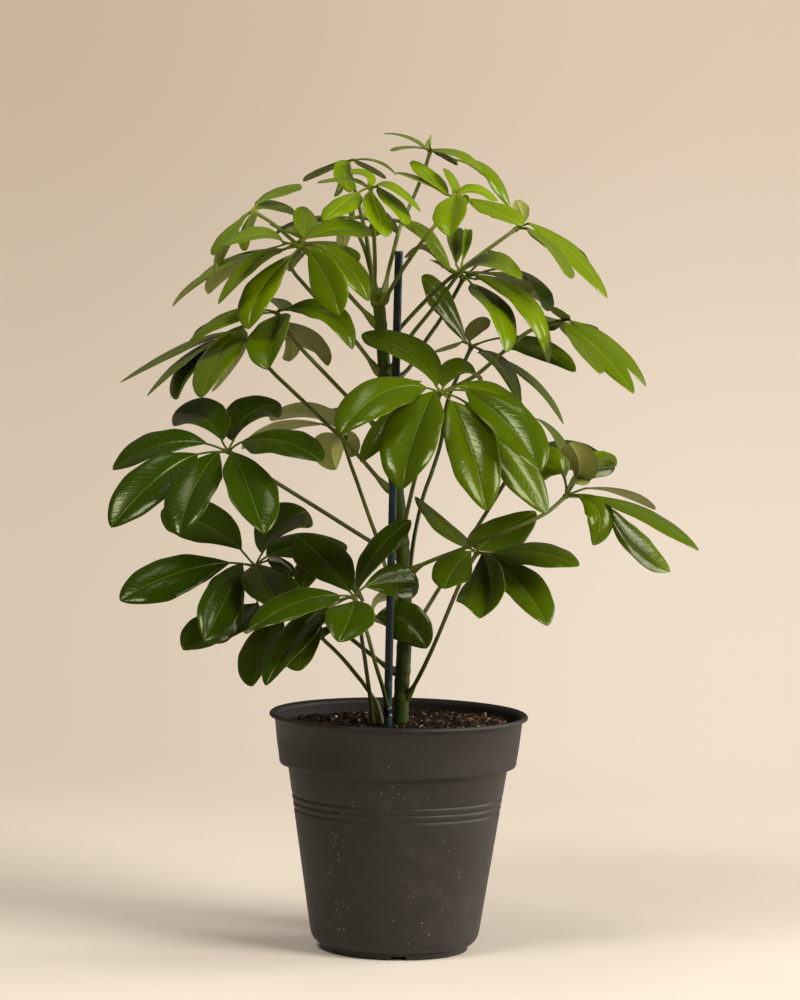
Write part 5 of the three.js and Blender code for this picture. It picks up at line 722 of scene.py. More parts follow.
def mix_material():
    """Peat, bark and perlite. tone.x picks the kind of bit, tone.y its own shade."""
    m = Nodes("potting_mix")
    kind, rand, extra = m.xyz(m.attr("tone"))
    grit = m.noise(520, 5, 0.7)
    clump = m.noise(75, 3, 0.6)
    peat = m.mix(m.remap(grit, 0.35, 0.65), C["peat_and_inner_wall_shade"], C["peat_b"])
    peat = m.mix(m.remap(clump, 0.45, 0.7, 0.0, 0.6), peat, C["peat_c"])
    bark = m.mix(rand, C["chip_a"], C["chip_b"])
    bark = m.mix(m.remap(grit, 0.4, 0.65, 0.0, 0.55), bark, C["chip_c"])
    base = m.mix(m.remap(kind, 0.2, 0.45), peat, bark)
    base = m.mix(m.remap(kind, 0.75, 0.95), base, m.mix(m.remap(grit, 0.4, 0.6, 0.0, 0.3), C["perlite"], C["chip_b"]))
    m.set(Base_Color=base, Roughness=m.remap(grit, 0.3, 0.7, 0.8, 0.98))
    m.bsdf.inputs["Specular IOR Level"].default_value = 0.25
    m.set(Normal=m.bump(m.math("ADD", grit, m.math("MULTIPLY", m.noise(1600, 2, 0.6), 0.4)), 1.0, 0.0009))
    return m.mat


C = dict(
    mature_a=(0.0165, 0.034, 0.0002), mature_b=(0.024, 0.047, 0.0003),
    mature_c=(0.013, 0.029, 0.0002), mature_d=(0.036, 0.066, 0.0008),
    young_a=(0.140, 0.220, 0.0005), young_b=(0.190, 0.275, 0.0008),
    young_c=(0.105, 0.185, 0.0004), young_d=(0.225, 0.310, 0.0020),
    vein=(0.085, 0.140, 0.006), midrib=(0.290, 0.380, 0.040), midrib_old=(0.120, 0.190, 0.012), margin=(0.280, 0.340, 0.030),
    under_mature=(0.215, 0.215, 0.062), under_mature2=(0.165, 0.175, 0.042),
    under_young=(0.270, 0.300, 0.050), under_young2=(0.215, 0.255, 0.034),
    under_vein=(0.250, 0.285, 0.090),
    stalk_a=(0.062, 0.086, 0.003), stalk_b=(0.185, 0.240, 0.006), stalk_c=(0.058, 0.062, 0.004),
    sheath=(0.105, 0.135, 0.006), lenticel=(0.300, 0.290, 0.130),
    stem_low=(0.031, 0.054, 0.002), stem_top=(0.066, 0.100, 0.004), stem_bark=(0.020, 0.027, 0.002),
    scar=(0.070, 0.062, 0.014),
    pot_a=(0.0140, 0.0118, 0.0098), pot_b=(0.0185, 0.0157, 0.0132), dust=(0.40, 0.38, 0.34),
    stake_a=(0.0035, 0.016, 0.022), stake_b=(0.005, 0.022, 0.029),
    peat_and_inner_wall_shade=(0.005, 0.0032, 0.002), peat_b=(0.020, 0.0115, 0.006), peat_c=(0.009, 0.0048, 0.0028),
    chip_a=(0.020, 0.0095, 0.0045), chip_b=(0.300, 0.175, 0.095), chip_c=(0.011, 0.006, 0.0035),
    perlite=(0.62, 0.56, 0.46),
)

MAT = {
    "mature": leaf_material("leaf_mature", False),
    "young": leaf_material("leaf_young", True),
    "stalk": stalk_material(),
    "stem": stem_material(),
    "pot": pot_material(),
    "stake": stake_material(),
    "mix": mix_material(),
}


# ------------------------------------------------------------------ leaflets
HALF = np.array([0, 0.03, 0.075, 0.15, 0.27, 0.42, 0.58, 0.74, 0.88, 0.96, 1.0])
COLS = np.concatenate([-HALF[::-1], HALF[1:]])
REF = (np.array([0, 1.0, 0]), np.array([0, 0, -1.0]))
VIEW = np.array([0, -0.997, 0.076])


def width_at(t, p):
    s = np.clip((t - p) / (1 - p), 0, 1)
    return np.where(t < p, np.sin(np.pi / 2 * np.clip(t / p, 0, 1)) ** 0.9, (1 - s**2.2) ** 0.7)


def blade(b, row, rng, youth_and_painted_light):
    P = np.array(row[:9], float).reshape(3, 3)
    h, al, ar, pl, pr, u, es, ref = row[9:]
    al, ar = math.radians(al), math.radians(ar)
    x = np.linspace(0, 1, 37)[:-1]
    t = 0.55 * x + 0.45 * 0.5 * (1 - np.cos(np.pi * x))
    t1 = t[:, None]
    c = (1 - t1) ** 2 * P[0] + 2 * t1 * (1 - t1) * P[1] + t1**2 * P[2]
    T = unit(2 * (1 - t1) * (P[1] - P[0]) + 2 * t1 * (P[2] - P[1]))
    E = unit(np.cross(T, REF[int(ref)]))
    N = unit(np.cross(T, E)) * u
    E = E * es
    length = np.linalg.norm(np.diff(c, axis=0), axis=1).sum() + np.linalg.norm(P[2] - c[-1])
    r1, r2, r3, r4, r5 = rng.uniform(0, 1, 5)
    young = youth_and_painted_light
    base = 0.8 * (1 - 0.75 * t)
    wl = np.maximum(h * width_at(t, pl), base)
    wr = np.maximum(h * width_at(t, pr), base)
    # a little uneven margin
    wl = wl * (1 + 0.018 * np.sin(2 * np.pi * (2.3 * t + r1)) + 0.010 * np.sin(2 * np.pi * (5.1 * t + r3)))
    wr = wr * (1 + 0.018 * np.sin(2 * np.pi * (2.6 * t + r2)) + 0.010 * np.sin(2 * np.pi * (4.7 * t + r4)))
    curl = (0.6 + 1.6 * r5) * np.clip((t - 0.8) / 0.2, 0, 1) ** 2
    c = c - N * curl[:, None]
    tip = P[2] - N[-1] * (0.6 + 1.6 * r5)
    arch = 0.055 + 0.03 * r3
    s = np.abs(COLS)[None, :]
    left = (COLS > 0)[None, :, None]
    w = np.where(left[..., 0], wl[:, None], wr[:, None])
    dl = np.cos(al) * E + np.sin(al) * N
    dr = -np.cos(ar) * E + np.sin(ar) * N
    nl = -np.sin(al) * E + np.cos(al) * N
    nr = np.sin(ar) * E + np.cos(ar) * N
    D = np.where(left, dl[:, None, :], dr[:, None, :])
    M = np.where(left, nl[:, None, :], nr[:, None, :])
    M = np.where((COLS == 0)[None, :, None], N[:, None, :], M)
    fade = np.sin(np.pi * np.clip(t, 0, 1)) ** 0.5
    wave = np.where(left[..., 0], np.sin(2 * np.pi * (1.7 * t[:, None] + r1)), np.sin(2 * np.pi * (1.9 * t[:, None] + r2)))
    small = np.where(left[..., 0], np.sin(2 * np.pi * (4.3 * t[:, None] + r4)), np.sin(2 * np.pi * (3.9 * t[:, None] + r3)))
    # lateral swelling between the side veins
    puff = np.sin(2 * np.pi * ((t[:, None] * length - 0.85 * s * w) / 11.2 + r5))
    nl1, nr1 = nl[len(t) // 2], nr[len(t) // 2]
    edge_on = np.where(left[..., 0], abs(nl1 @ VIEW), abs(nr1 @ VIEW))
    calm = np.clip(edge_on / 0.5, 0.12, 1.0) ** 1.3
    off = w * calm * (arch * 4 * s * (1 - s) + fade[:, None] * (0.045 * wave * s**2 + 0.012 * small * s**2)) - 0.05 * w * calm * s**7
    off = off + 0.08 * calm * puff * np.sin(np.pi * np.clip(s, 0, 1)) * np.clip(w / 8, 0, 1) * (1 - 0.5 * young)
    G = c[:, None, :] + D * (s * w)[..., None] + M * off[..., None]
    gt = np.gradient(G, axis=0)
    gs = np.gradient(G, axis=1)
    n = np.cross(gt, gs)
    sign = np.sign(np.median((n * N[:, None, :]).sum(-1)))
    n = unit(n) * sign
    thick = 0.24 * (1 - s**6)
    slim = np.clip(w / 4, 0, 1)
    groove = np.interp(s, [0, 0.03, 0.075, 0.15], [0.34, 0.16, 0.0, 0.0]) * slim * (1 - 0.6 * t[:, None])
    ridge = np.interp(s, [0, 0.03, 0.075, 0.15], [0.75, 0.55, 0.1, 0.0]) * (1 - 0.8 * t[:, None])
    top = G + n * (thick - groove)[..., None]
    bot = G - n * (thick + ridge)[..., None]
    nt, ns = G.shape[:2]
    iT = np.arange(nt * ns).reshape(nt, ns)
    iB = nt * ns + np.arange(nt * (ns - 2)).reshape(nt, ns - 2)
    iB = np.concatenate([iT[:, :1], iB, iT[:, -1:]], 1)
    tipi = nt * ns + nt * (ns - 2)
    v = np.vstack([top.reshape(-1, 3), bot[:, 1:-1].reshape(-1, 3), tip[None]])
    q = lambda I: np.stack([I[:-1, :-1], I[1:, :-1], I[1:, 1:], I[:-1, 1:]], -1).reshape(-1, 4)
    up, dn = q(iT), q(iB)[:, ::-1]
    end = np.stack([iT[-1, :-1], np.full(ns - 1, tipi), iT[-1, 1:]], 1)
    endb = np.stack([iB[-1, 1:], np.full(ns - 1, tipi), iB[-1, :-1]], 1)
    cap = np.stack([iT[0, 1:-2], iT[0, 2:-1], iB[0, 2:-1], iB[0, 1:-2]], 1)
    capt = np.array([[iT[0, 0], iT[0, 1], iB[0, 1]], [iT[0, -1], iB[0, -2], iT[0, -2]]])
    if sign < 0:
        up, dn, end, endb, cap, capt = (a[:, ::-1] for a in (up, dn, end, endb, cap, capt))
    d = (s * w) * np.ones((nt, ns))
    leaf_top = np.stack([d * np.sign(COLS)[None], (t[:, None] * length) * np.ones((nt, ns)), np.broadcast_to(COLS[None], (nt, ns))], -1)
    leaf_all = np.vstack([leaf_top.reshape(-1, 3), leaf_top[:, 1:-1].reshape(-1, 3), [[0, length, 0]]])
    tone = np.zeros((len(v), 3))
    tone[: nt * ns, 0] = 1
    tone[-1, 0] = 1
    shade = rng.uniform(0, 1)
    tone[:, 1] = shade
    tone[:, 2] = youth_and_painted_light
    b.add(v, np.vstack([up, dn, cap]), np.vstack([end, endb, capt]), leaf_all, tone)
    return T[0], shade


def petiolule(b, hub, row, T0, youth_and_painted_light, shade, up):
    P0 = np.array(row[:3], float)
    end = P0 + T0 * 4.0
    gap = np.linalg.norm(end - hub)
    d0 = unit(unit(P0 - hub) * 1.0 + up * 0.35)
    t = np.linspace(0, 1, 11)[:, None]
    h00, h10, h01, h11 = 2 * t**3 - 3 * t**2 + 1, t**3 - 2 * t**2 + t, -2 * t**3 + 3 * t**2, t**3 - t**2
    pts = h00 * hub + h10 * d0 * gap + h01 * end + h11 * T0 * gap
    x = t[:, 0]
    r = np.interp(x, [0, 0.12, 0.3, 0.75, 0.9, 1.0], [1.35, 1.15, 0.78, 0.80, 0.72, 0.35])
    n = unit(np.cross(unit(np.gradient(pts, axis=0)), np.array([0.3, 0.2, 0.9])))
    tube(b, pts, r, 8, (1, shade, 2 + youth_and_painted_light))


def ball(b, centre, radii, tone, seed, rough=0.0, seg=14, rings=9):
    w = np.linspace(0, 2 * np.pi, seg, endpoint=False)
    v = [[0, 0, -1.0]]
    for i in range(1, rings):
        a = -np.pi / 2 + np.pi * i / rings
        v += [[math.cos(a) * math.cos(k), math.cos(a) * math.sin(k), math.sin(a)] for k in w]
    v.append([0, 0, 1.0])
    v = np.array(v)
    if rough:
        v = v * np.array([1 + rough * noise.noise(Vector(p * 1.7) + Vector((seed * 3.1, 0, 0))) for p in v])[:, None]
    v = v * np.asarray(radii) + np.asarray(centre)
    j = np.arange(seg)
    k = (j + 1) % seg
    tris = [np.stack([np.zeros(seg, int), 1 + k, 1 + j], 1)]
    quads = [np.stack([1 + (i - 1) * seg + j, 1 + (i - 1) * seg + k, 1 + i * seg + k, 1 + i * seg + j], 1) for i in range(1, rings - 1)]
    last = 1 + (rings - 2) * seg
    tris.append(np.stack([last + j, last + k, np.full(seg, len(v) - 1)], 1))
    b.add(v, np.vstack(quads), np.vstack(tris), None, tone)


def inside_stem(p, way):
    """A point inside the stem from which a stalk that starts at p grows out."""
    a = np.array(STEM_AXIS, float)
    z = min(p[2] - 2.2, a[:, 2].max() - 2.5)
    q = np.array([np.interp(z, a[:, 2], a[:, 0]), np.interp(z, a[:, 2], a[:, 1]), z])
    gap = p - q
    return q + gap * min(0.30, 2.0 / max(np.linalg.norm(gap), 1e-6))


pieces = []
for i, leaf in enumerate(LEAVES):
    rng = np.random.RandomState(40 + i)
    b = Build()
    hub = np.array(leaf["hub"], float)
    way = unit(np.array(leaf["stalk"][-1], float) - np.array(leaf["stalk"][-2], float))
    youth_and_painted_light = leaf["young"]
    for row in leaf["leaflets"]:
        T0, shade = blade(b, row, rng, youth_and_painted_light)
        petiolule(b, hub, row, T0, youth_and_painted_light, shade, way)
    ball(b, hub - way * 0.4, (2.3, 2.3, 1.9), (1, 0.5, 2 + youth_and_painted_light), i, 0.25)
    name = "leaf_%02d" % (i + 1)
    ob = b.make("leaflets_%02d" % (i + 1), MAT["young" if i >= 13 else "mature"])
    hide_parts(name)
    pieces.append(ob)
    # stalk
    b = Build()
    line = [np.array(p, float) for p in leaf["stalk"]]
    if line[0][2] > 168:
        line.insert(0, inside_stem(line[0], line[1] - line[0]))
    pts, arc = spline(line, 2.2)
    n = len(pts)
    foot = 1.75 if leaf["stalk"][0][2] > 168 else 0.5
    r = 1.55 + foot * np.clip(1 - (arc - 7.0) / 11, 0, 1) ** 0.9 * np.clip(0.45 + arc / 9, 0, 1) + 0.45 * np.exp(-((arc[-1] - arc) / 4.0) ** 2)
    r = r - 0.22 * np.clip((arc - 30) / max(arc[-1] - 30, 1), 0, 1) * (1 if youth_and_painted_light > 0.5 else 0.5)
    r = r * (1 + 0.02 * np.sin(arc / 9 + i))
    tube(b, pts, r, 12, (0, rng.uniform(0, 1), youth_and_painted_light), arc)
    ob = b.make("stalk_%02d" % (i + 1), MAT["stalk"])
    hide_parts("leaf_stalk_%02d" % (i + 1))
    pieces.append(ob)

# ------------------------------------------------------------------ main stem
b = Build()
pts, arc = spline(STEM_AXIS, 1.6)
z = pts[:, 2]
R = np.interp(z, [170, 480], [5.55, 4.45])
nodes = sorted(leaf["stalk"][0][2] + 1.5 for leaf in LEAVES if leaf["stalk"][0][2] > 165) + [196.5, 241.0]
swell = sum(0.34 * np.exp(-((z - a) / 2.6) ** 2) for a in nodes)
dip = sum(0.22 * np.exp(-((z - a - 4.4) / 0.9) ** 2) for a in nodes)
R = R + np.clip(swell, 0, 0.55) - np.clip(dip, 0, 0.3)
R = np.where(z > z[-1] - 5, R * np.sqrt(np.clip(1 - ((z - z[-1] + 5) / 5.6) ** 2, 0.05, 1)), R)
rows = []
sides = 30
for i, a in enumerate(pts):
    w = np.linspace(0, 2 * np.pi, sides, endpoint=False)
    rows.append(np.array([R[i] * (1 + 0.035 * noise.noise(Vector((math.cos(k) * 0.9, math.sin(k) * 0.9, z[i] * 0.06)))) for k in w]))
tube(b, pts, rows, sides, (0, 0, 0), arc)
tone = b.b[0] = np.array(b.b[0])
scar = sum(np.exp(-((z - a - 4.0) / 1.1) ** 2) for a in nodes)
tone[: len(pts) * sides, 0] = np.repeat(np.clip(scar, 0, 1), sides)
top = np.array(STEM_AXIS[-1], float) if STEM_AXIS[-1][2] > STEM_AXIS[0][2] else np.array(STEM_AXIS[0], float)
crown = Build()
ball(crown, top + [0, 0, -1.2], (5.3, 5.3, 6.4), (0, 0.5, 0.75), 3, 0.22, 22, 14)
for k in range(5):
    a = k * 2.4
    ball(crown, top + [2.6 * math.cos(a), 2.6 * math.sin(a), 3.0 + 0.5 * k % 1.7], (1.7, 1.7, 3.4), (0, 0.4, 0.95), k, 0.2, 12, 9)
crown_ob = crown.make("stem_crown", MAT["stalk"])
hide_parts("main_stem")
pieces.append(crown_ob)
stem_ob = b.make("stem", MAT["stem"])
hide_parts("main_stem")
pieces.append(stem_ob)

# ------------------------------------------------------------------ support stake
b = Build()
pts, arc = spline(STAKE_AXIS, 4.0)
pts = np.vstack([pts[:-1], pts[-1] - [0, 0, 0.9], pts[-1] - [0, 0, 0.25], pts[-1]])
r = np.full(len(pts), 2.95)
r[-2], r[-1] = 2.8, 2.2
r[:1] = 1.5
tube(b, pts, r, 32, (0, 0, 0))
stake_ob = b.make("stake", MAT["stake"])
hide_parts("support_stake")
pieces.append(stake_ob)

# ------------------------------------------------------------------ pot
POT_H, POT_RIM_R, COLLAR_TOP_R, COLLAR_FOOT_R, STEP_Z = 174.3, 95.0, 91.0, 87.2, 136.0
BODY_TOP_R, BODY_FOOT_R, WALL, BASE_Z = 80.5, 62.0, 1.5, 5.0
body_r = lambda z: BODY_FOOT_R + (BODY_TOP_R - BODY_FOOT_R) * (z - 12) / (134 - 12)
outer = [(0, 0), (19, 0), (20, BASE_Z), (50.0, BASE_Z), (50.5, 0), (53.8, 0), (54.2, 4.2), (57.2, 5.2), (60.2, 8), (BODY_FOOT_R, 12)]
outer += [(body_r(a), a) for a in (40, 70, 90)]
for a in (103.5, 108.7, 113.9):
    outer += [(body_r(a - 2.2), a - 2.2), (body_r(a - 1.1) - 0.15, a - 1.1), (body_r(a) - 0.75, a), (body_r(a + 1.1) - 0.15, a + 1.1), (body_r(a + 2.2), a + 2.2)]
outer += [(BODY_TOP_R, STEP_Z - 2), (BODY_TOP_R + 0.4, STEP_Z - 0.6), (84.6, STEP_Z + 0.1), (86.4, STEP_Z + 0.7), (COLLAR_FOOT_R - 0.1, STEP_Z + 2.2), (COLLAR_FOOT_R, STEP_Z + 4)]
outer += [(COLLAR_FOOT_R + 1.9, 153), (COLLAR_TOP_R - 0.1, 169.6)]
lip = [(COLLAR_TOP_R + 0.8, 170.6), (POT_RIM_R - 1.6, 170.9), (POT_RIM_R - 0.4, 171.4), (POT_RIM_R, 172.4), (POT_RIM_R - 0.35, 173.5), (POT_RIM_R - 1.4, POT_H), (POT_RIM_R - 2.6, 174.2), (COLLAR_TOP_R - 0.1, 173.4), (COLLAR_TOP_R - 1.4, 171.9)]
inner = [(COLLAR_TOP_R - WALL - 0.3, 170.2), (COLLAR_FOOT_R - WALL + 1.9, 153), (COLLAR_FOOT_R - WALL, STEP_Z + 2.7), (83.9, STEP_Z + 1), (BODY_TOP_R - WALL, STEP_Z - 1.6), (BODY_FOOT_R - WALL, 12.6), (55.6, BASE_Z + 1.8), (0, BASE_Z + 1.8)]
prof = outer + lip + inner
prof = rounded(prof, {1: 0.6, 2: 0.5, 3: 0.4, 4: 0.25, 5: 0.5, 6: 0.6, 7: 1.0, 8: 1.5, 9: 3.0}, 3)
b = Build()
lathe(b, prof, 176)
pot = b.make("pot", MAT["pot"])


def cutter(name, make):
    k = Build()
    make(k)
    ob = k.make(name, MAT["pot"], False)
    return ob


def cut(ob, tools):
    for k in tools:
        mod = ob.modifiers.new("cut", "BOOLEAN")
        mod.operation = "DIFFERENCE"
        mod.solver = "EXACT"
        mod.object = k
    dg = bpy.context.evaluated_depsgraph_get()
    me = bpy.data.meshes.new_from_object(ob.evaluated_get(dg))
    ob.modifiers.clear()
    ob.data = me
    for k in tools:
        bpy.data.objects.remove(k)


tools = []
for i in range(4):
    a = i * math.pi / 2 + math.pi / 4
    tools.append(cutter("hole%d" % i, lambda k: lathe(k, [(0, 2.5), (5, 2.5), (5, 9.5), (0, 9.5)], 28, centre=(36 * math.cos(a), 36 * math.sin(a)))))
    c = i * math.pi / 2 - math.pi / 2 + 0.06
    ex, ey = np.array([math.cos(c), math.sin(c), 0]), np.array([-math.sin(c), math.cos(c), 0])
    box = np.array([53 * ex + sx * 8 * ex + sy * 5.5 * ey + np.array([0, 0, sz]) for sz in (-2.6, 2.6) for sy in (-1, 1) for sx in (-1, 1)])
    tools.append(cutter("notch%d" % i, lambda k: k.add(box, [[0, 2, 3, 1], [4, 5, 7, 6], [0, 1, 5, 4], [2, 6, 7, 3], [0, 4, 6, 2], [1, 3, 7, 5]])))
cut(pot, tools)
pot.data.polygons.foreach_set("use_smooth", np.ones(len(pot.data.polygons), bool))
pot.data.set_sharp_from_angle(angle=math.radians(42))
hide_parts("nursery_pot")
pieces.append(pot)


# ------------------------------------------------------------------ potting mix
def soil_z(x, y):
    return 163.5 + 3.5 * math.exp(-((x - 45) ** 2 + (y - 25) ** 2) / 1800) + 1.2 * math.exp(-(x * x + y * y) / 500)


def soil_bump(x, y):
    p = Vector((x * 0.11, y * 0.11, 3.3))
    q = Vector((x * 0.42, y * 0.42, 7.1))
    g = Vector((x * 1.1, y * 1.1, 1.7))
    return 1.3 * noise.noise(p) + 0.9 * noise.noise(q) + 0.45 * noise.noise(g)


b = Build()
seg = 220
radii = np.concatenate([np.linspace(1.2, 86.6, 84), [87.6, 88.1]])
w = np.linspace(0, 2 * np.pi, seg, endpoint=False)
v = [[0, 0, soil_z(0, 0)]]
for r in radii:
    edge = max(0.0, min(1.0, (r - 82) / 6))
    for k in w:
        x, y = r * math.cos(k), r * math.sin(k)
        v.append([x, y, soil_z(x, y) + soil_bump(x, y) * (1 - 0.5 * edge) - 1.2 * edge])
for r, zz in ((COLLAR_FOOT_R - WALL + 2.2, 160), (COLLAR_FOOT_R - WALL - 0.5, STEP_Z + 3.4), (82.9, STEP_Z + 1.5), (BODY_TOP_R - WALL - 0.45, STEP_Z - 1.4), (BODY_FOOT_R - WALL - 0.5, 13), (54.8, 7.2)):
    v += [[r * math.cos(k), r * math.sin(k), zz] for k in w]
v.append([0, 0, 7.2])
v = np.array(v)
j = np.arange(seg)
k = (j + 1) % seg
nr = (len(v) - 2) // seg
quads = np.vstack([np.stack([1 + i * seg + j, 1 + (i + 1) * seg + j, 1 + (i + 1) * seg + k, 1 + i * seg + k], 1) for i in range(nr - 1)])
tris = np.vstack([np.stack([np.zeros(seg, int), 1 + j, 1 + k], 1), np.stack([np.full(seg, len(v) - 1), 1 + (nr - 1) * seg + k, 1 + (nr - 1) * seg + j], 1)])
b.add(v, quads, tris, None, (0, 0, 0))

rng = np.random.RandomState(5)
CUBE = np.array([[x, y, z] for z in (-1, 1) for y in (-1, 1) for x in (-1, 1)], float)
CUBE_Q = np.array([[0, 2, 3, 1], [4, 5, 7, 6], [0, 1, 5, 4], [2, 6, 7, 3], [0, 4, 6, 2], [1, 3, 7, 5]])


def bit(size, at, tone, tilt=0.6):
    """An irregular flake or crumb: a warped box with chamfered look from unequal corners."""
    p = CUBE * (1 + rng.uniform(-0.38, 0.38, (8, 3)))
    p = p * np.array(size) * 0.5
    a, e, g = rng.uniform(0, 2 * np.pi), rng.normal(0, tilt), rng.normal(0, tilt)
    Rz = np.array([[math.cos(a), -math.sin(a), 0], [math.sin(a), math.cos(a), 0], [0, 0, 1]])
    Rx = np.array([[1, 0, 0], [0, math.cos(e), -math.sin(e)], [0, math.sin(e), math.cos(e)]])
    Ry = np.array([[math.cos(g), 0, math.sin(g)], [0, 1, 0], [-math.sin(g), 0, math.cos(g)]])
    b2.add(p @ (Rz @ Rx @ Ry).T + at, CUBE_Q, None, None, tone)


b2 = Build()
for i in range(3600):
    r, a = 87.0 * math.sqrt(rng.uniform(0, 1)), rng.uniform(0, 2 * np.pi)
    x, y = r * math.cos(a), r * math.sin(a)
    if math.hypot(x - 1, y - 3) < 6.5 or math.hypot(x + 8, y + 12.5) < 4:
        continue
    if r > 84.5:
        continue
    right = 1 / (1 + math.exp(-(x - 5) / 18))
    u = rng.uniform(0, 1)
    zz = soil_z(x, y) + soil_bump(x, y)
    if u < 0.42:
        s = rng.uniform(1.0, 2.6)
        bit((s * rng.uniform(0.8, 1.5), s, s * 0.9), (x, y, zz + 0.25 * s), (0.0, rng.uniform(0, 1), 0))
    elif u < 0.42 + 0.40 * (0.35 + 0.65 * right):
        s = rng.uniform(1.0, 2.5)
        bit((s * rng.uniform(1.2, 2.6), s, s * rng.uniform(0.3, 0.6)), (x, y, zz + 0.3 * s), (0.6, rng.uniform(0, 1) ** 3.4 * (0.25 + 0.75 * right), 0), 0.5)
    elif u < 0.93:
        s = rng.uniform(0.35, 0.7)
        bit((rng.uniform(5, 11), s, s), (x, y, zz + 0.6), (0.6, rng.uniform(0, 0.45), 0), 0.35)
    elif u < 0.95:
        s = rng.uniform(1.1, 2.3)
        bit((s, s * 0.9, s * 0.8), (x, y, zz + 0.3 * s), (1.0, 0.5, 0))
# larger bark pieces: a few by name of place, the rest at random on the right
big = [(36, -30, 9, 0.95), (52, 12, 10, 0.7), (61, -8, 9, 0.8), (30, 8, 8, 0.6), (70, 22, 9, 0.75), (4.5, -16, 8, 0.35), (47, -50, 8, 0.6), (24, -52, 7, 0.5), (-30, 30, 8, 0.3), (-52, -10, 7, 0.25), (20, 48, 9, 0.6), (-12, 62, 8, 0.4), (56, 42, 8, 0.5), (-46, -46, 7, 0.3)]
for x, y, s, shade in big:
    s = 0.62 * s
    bit((s, s * rng.uniform(0.45, 0.7), s * rng.uniform(0.25, 0.4)), (x, y, soil_z(x, y) + 1.2), (0.6, shade * 0.9, 0), 0.35)
mix_ob = b.make("potting_mix_bed", MAT["mix"])
bits = b2.make("potting_mix_bits", MAT["mix"], False)
for ob in (mix_ob, bits):
    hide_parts("potting_mix")
    pieces.append(ob)

for ob in pieces:
    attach(ob, "root")

# ------------------------------------------------------------------ floor
b = Build()
seg, rings = 128, [0.0, 0.2, 0.45, 0.8, 1.2, 1.7, 2.3, 3.0]
v = [[0, 0, 0]] + [[1000 * r * math.cos(a), 1000 * r * math.sin(a), 0] for r in rings[1:] for a in np.linspace(0, 2 * np.pi, seg, endpoint=False)]
j = np.arange(seg)
k = (j + 1) % seg
quads = np.vstack([np.stack([1 + i * seg + j, 1 + (i + 1) * seg + j, 1 + (i + 1) * seg + k, 1 + i * seg + k], 1) for i in range(len(rings) - 2)])
b.add(np.array(v), quads, np.stack([np.zeros(seg, int), 1 + j, 1 + k], 1))
fm = Nodes("floor")
x, y, z = fm.xyz(fm.obj())
dist = fm.math("SQRT", fm.math("ADD", fm.math("MULTIPLY", x, x), fm.math("MULTIPLY", y, y)))
weave = fm.noise(420, 4, 0.6)
# painted light: the floor gets paler further out to make up for the lamps' falloff with distance
near = fm.mix(fm.remap(fm.noise(6, 3, 0.5), 0.3, 0.7), (0.705, 0.632, 0.570), (0.735, 0.662, 0.600))
far_painted_light = fm.mix(fm.remap(fm.noise(9, 3, 0.5), 0.3, 0.7), (0.735, 0.654, 0.580), (0.755, 0.674, 0.600))
fm.set(Base_Color=fm.mix(fm.remap(dist, 0.15, 1.1, 0.0, 1.0), near, far_painted_light))
fm.set(Roughness=0.9)
fm.set(Normal=fm.bump(weave, 0.5, 0.0004))
clear = fm.nt.nodes.new("ShaderNodeBsdfTransparent")
mixn = fm.nt.nodes.new("ShaderNodeMixShader")
fm.put(mixn.inputs[0], fm.remap(dist, 0.48, 1.20, 0.0, 1.0, True))
fm.nt.links.new(fm.bsdf.outputs[0], mixn.inputs[1])
fm.nt.links.new(clear.outputs[0], mixn.inputs[2])
fm.nt.links.new(mixn.outputs[0], fm.out.inputs[0])
floor = b.make("floor", fm.mat, False)
floor.location.z = -0.0002

# ------------------------------------------------------------------ light
world = bpy.data.worlds.new("studio")
bpy.context.scene.world = world
world.use_nodes = True
wt = world.node_tree
wt.nodes.clear()
wout = wt.nodes.new("ShaderNodeOutputWorld")
backdrop_painted_light, lit = wt.nodes.new("ShaderNodeBackground"), wt.nodes.new("ShaderNodeBackground")
wn = Nodes.__new__(Nodes)
wn.nt, wn.coord = wt, None
wx, wy, wz = wn.xyz(wt.nodes.new("ShaderNodeTexCoord").outputs["Generated"])
# painted light and shade on the camera-only backdrop: darker to the left and higher up, paler to the right
across = wn.remap(wx, -0.09, 0.075, 0.0, 1.0, True)
up = wn.remap(wz, -0.11, 0.03, 0.0, 1.0, True)
left = wn.mix(up, (0.690, 0.568, 0.438), (0.590, 0.465, 0.345))
right = wn.mix(up, (0.870, 0.745, 0.605), (0.735, 0.590, 0.450))
wt.links.new(wn.mix(across, left, right), backdrop_painted_light.inputs[0])
backdrop_painted_light.inputs[1].default_value = 1.0
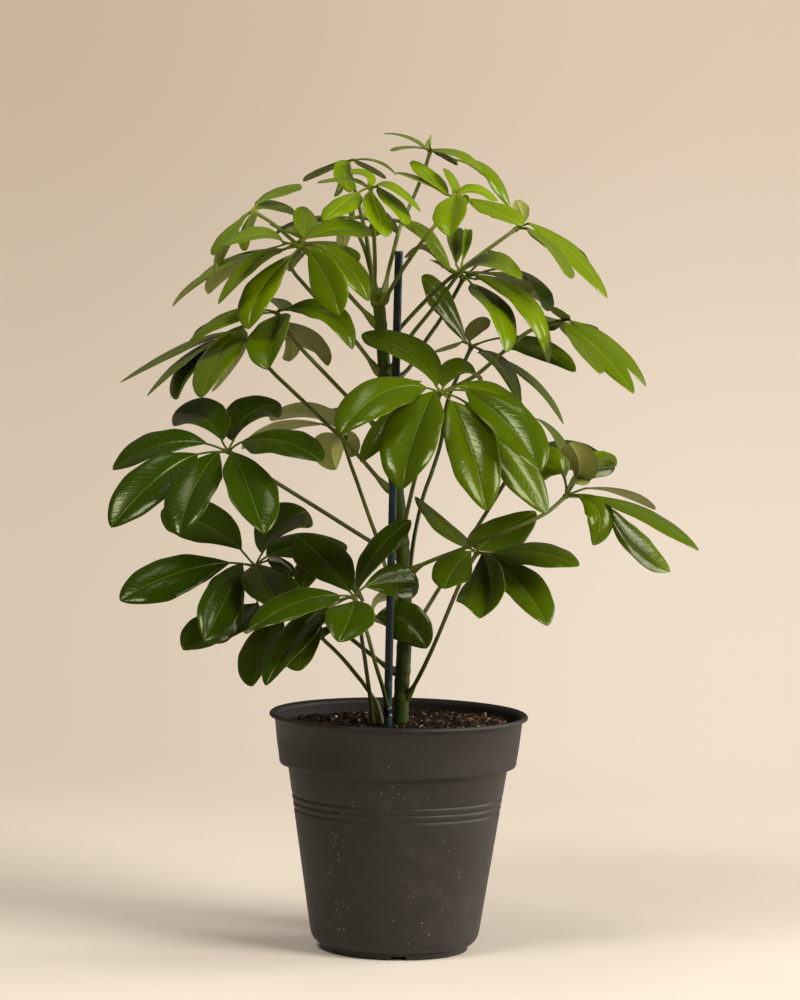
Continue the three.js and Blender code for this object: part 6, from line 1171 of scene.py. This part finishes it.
lit.inputs[0].default_value = (1.0, 0.83, 0.64, 1)
lit.inputs[1].default_value = 0.16
path = wt.nodes.new("ShaderNodeLightPath")
wmix = wt.nodes.new("ShaderNodeMixShader")
wt.links.new(path.outputs["Is Camera Ray"], wmix.inputs[0])
wt.links.new(lit.outputs[0], wmix.inputs[1])
wt.links.new(backdrop_painted_light.outputs[0], wmix.inputs[2])
wt.links.new(wmix.outputs[0], wout.inputs[0])


def area(name, at, to, size, power, color=(1, 1, 1)):
    l = bpy.data.lights.new(name, "AREA")
    l.shape = "RECTANGLE"
    l.size, l.size_y = size
    l.energy = power
    l.color = color
    o = bpy.data.objects.new(name, l)
    bpy.context.scene.collection.objects.link(o)
    o.location = at
    o.rotation_euler = (Vector(to) - Vector(at)).to_track_quat("-Z", "Y").to_euler()
    o.visible_camera = False
    return o


area("key", (2.90, -2.02, 2.36), (0.0, 0.0, 0.30), (1.85, 1.85), 182, (1.0, 0.955, 0.86))
area("side", (3.10, 0.75, 1.08), (0.0, 0.0, 0.32), (1.85, 1.85), 76, (1.0, 0.955, 0.88))
area("top", (-0.15, -0.20, 3.2), (0.0, 0.0, 0.35), (1.1, 0.95), 13, (1.0, 0.975, 0.90))
area("front", (-1.25, -1.80, 2.80), (0.0, 0.0, 0.40), (1.15, 0.72), 54, (1.0, 0.975, 0.88))

# ------------------------------------------------------------------ camera
cam = bpy.data.cameras.new("camera")
cam.sensor_width = 36.0
cam.sensor_fit = "AUTO"
cam.lens = 165.6
cam.clip_start, cam.clip_end = 0.1, 30.0
camera = bpy.data.objects.new("camera", cam)
bpy.context.scene.collection.objects.link(camera)
from mathutils import Matrix
pitch, roll = math.radians(90 - 4.367), math.radians(1.1)
camera.matrix_world = Matrix.Translation((-0.0021, -3.355, 0.587)) @ Matrix.Rotation(pitch, 4, "X") @ Matrix.Rotation(roll, 4, "Z")
bpy.context.scene.camera = camera

vs = bpy.context.scene.view_settings
vs.view_transform = "Standard"
vs.look = "None"
vs.exposure = 0.0
vs.gamma = 1.0
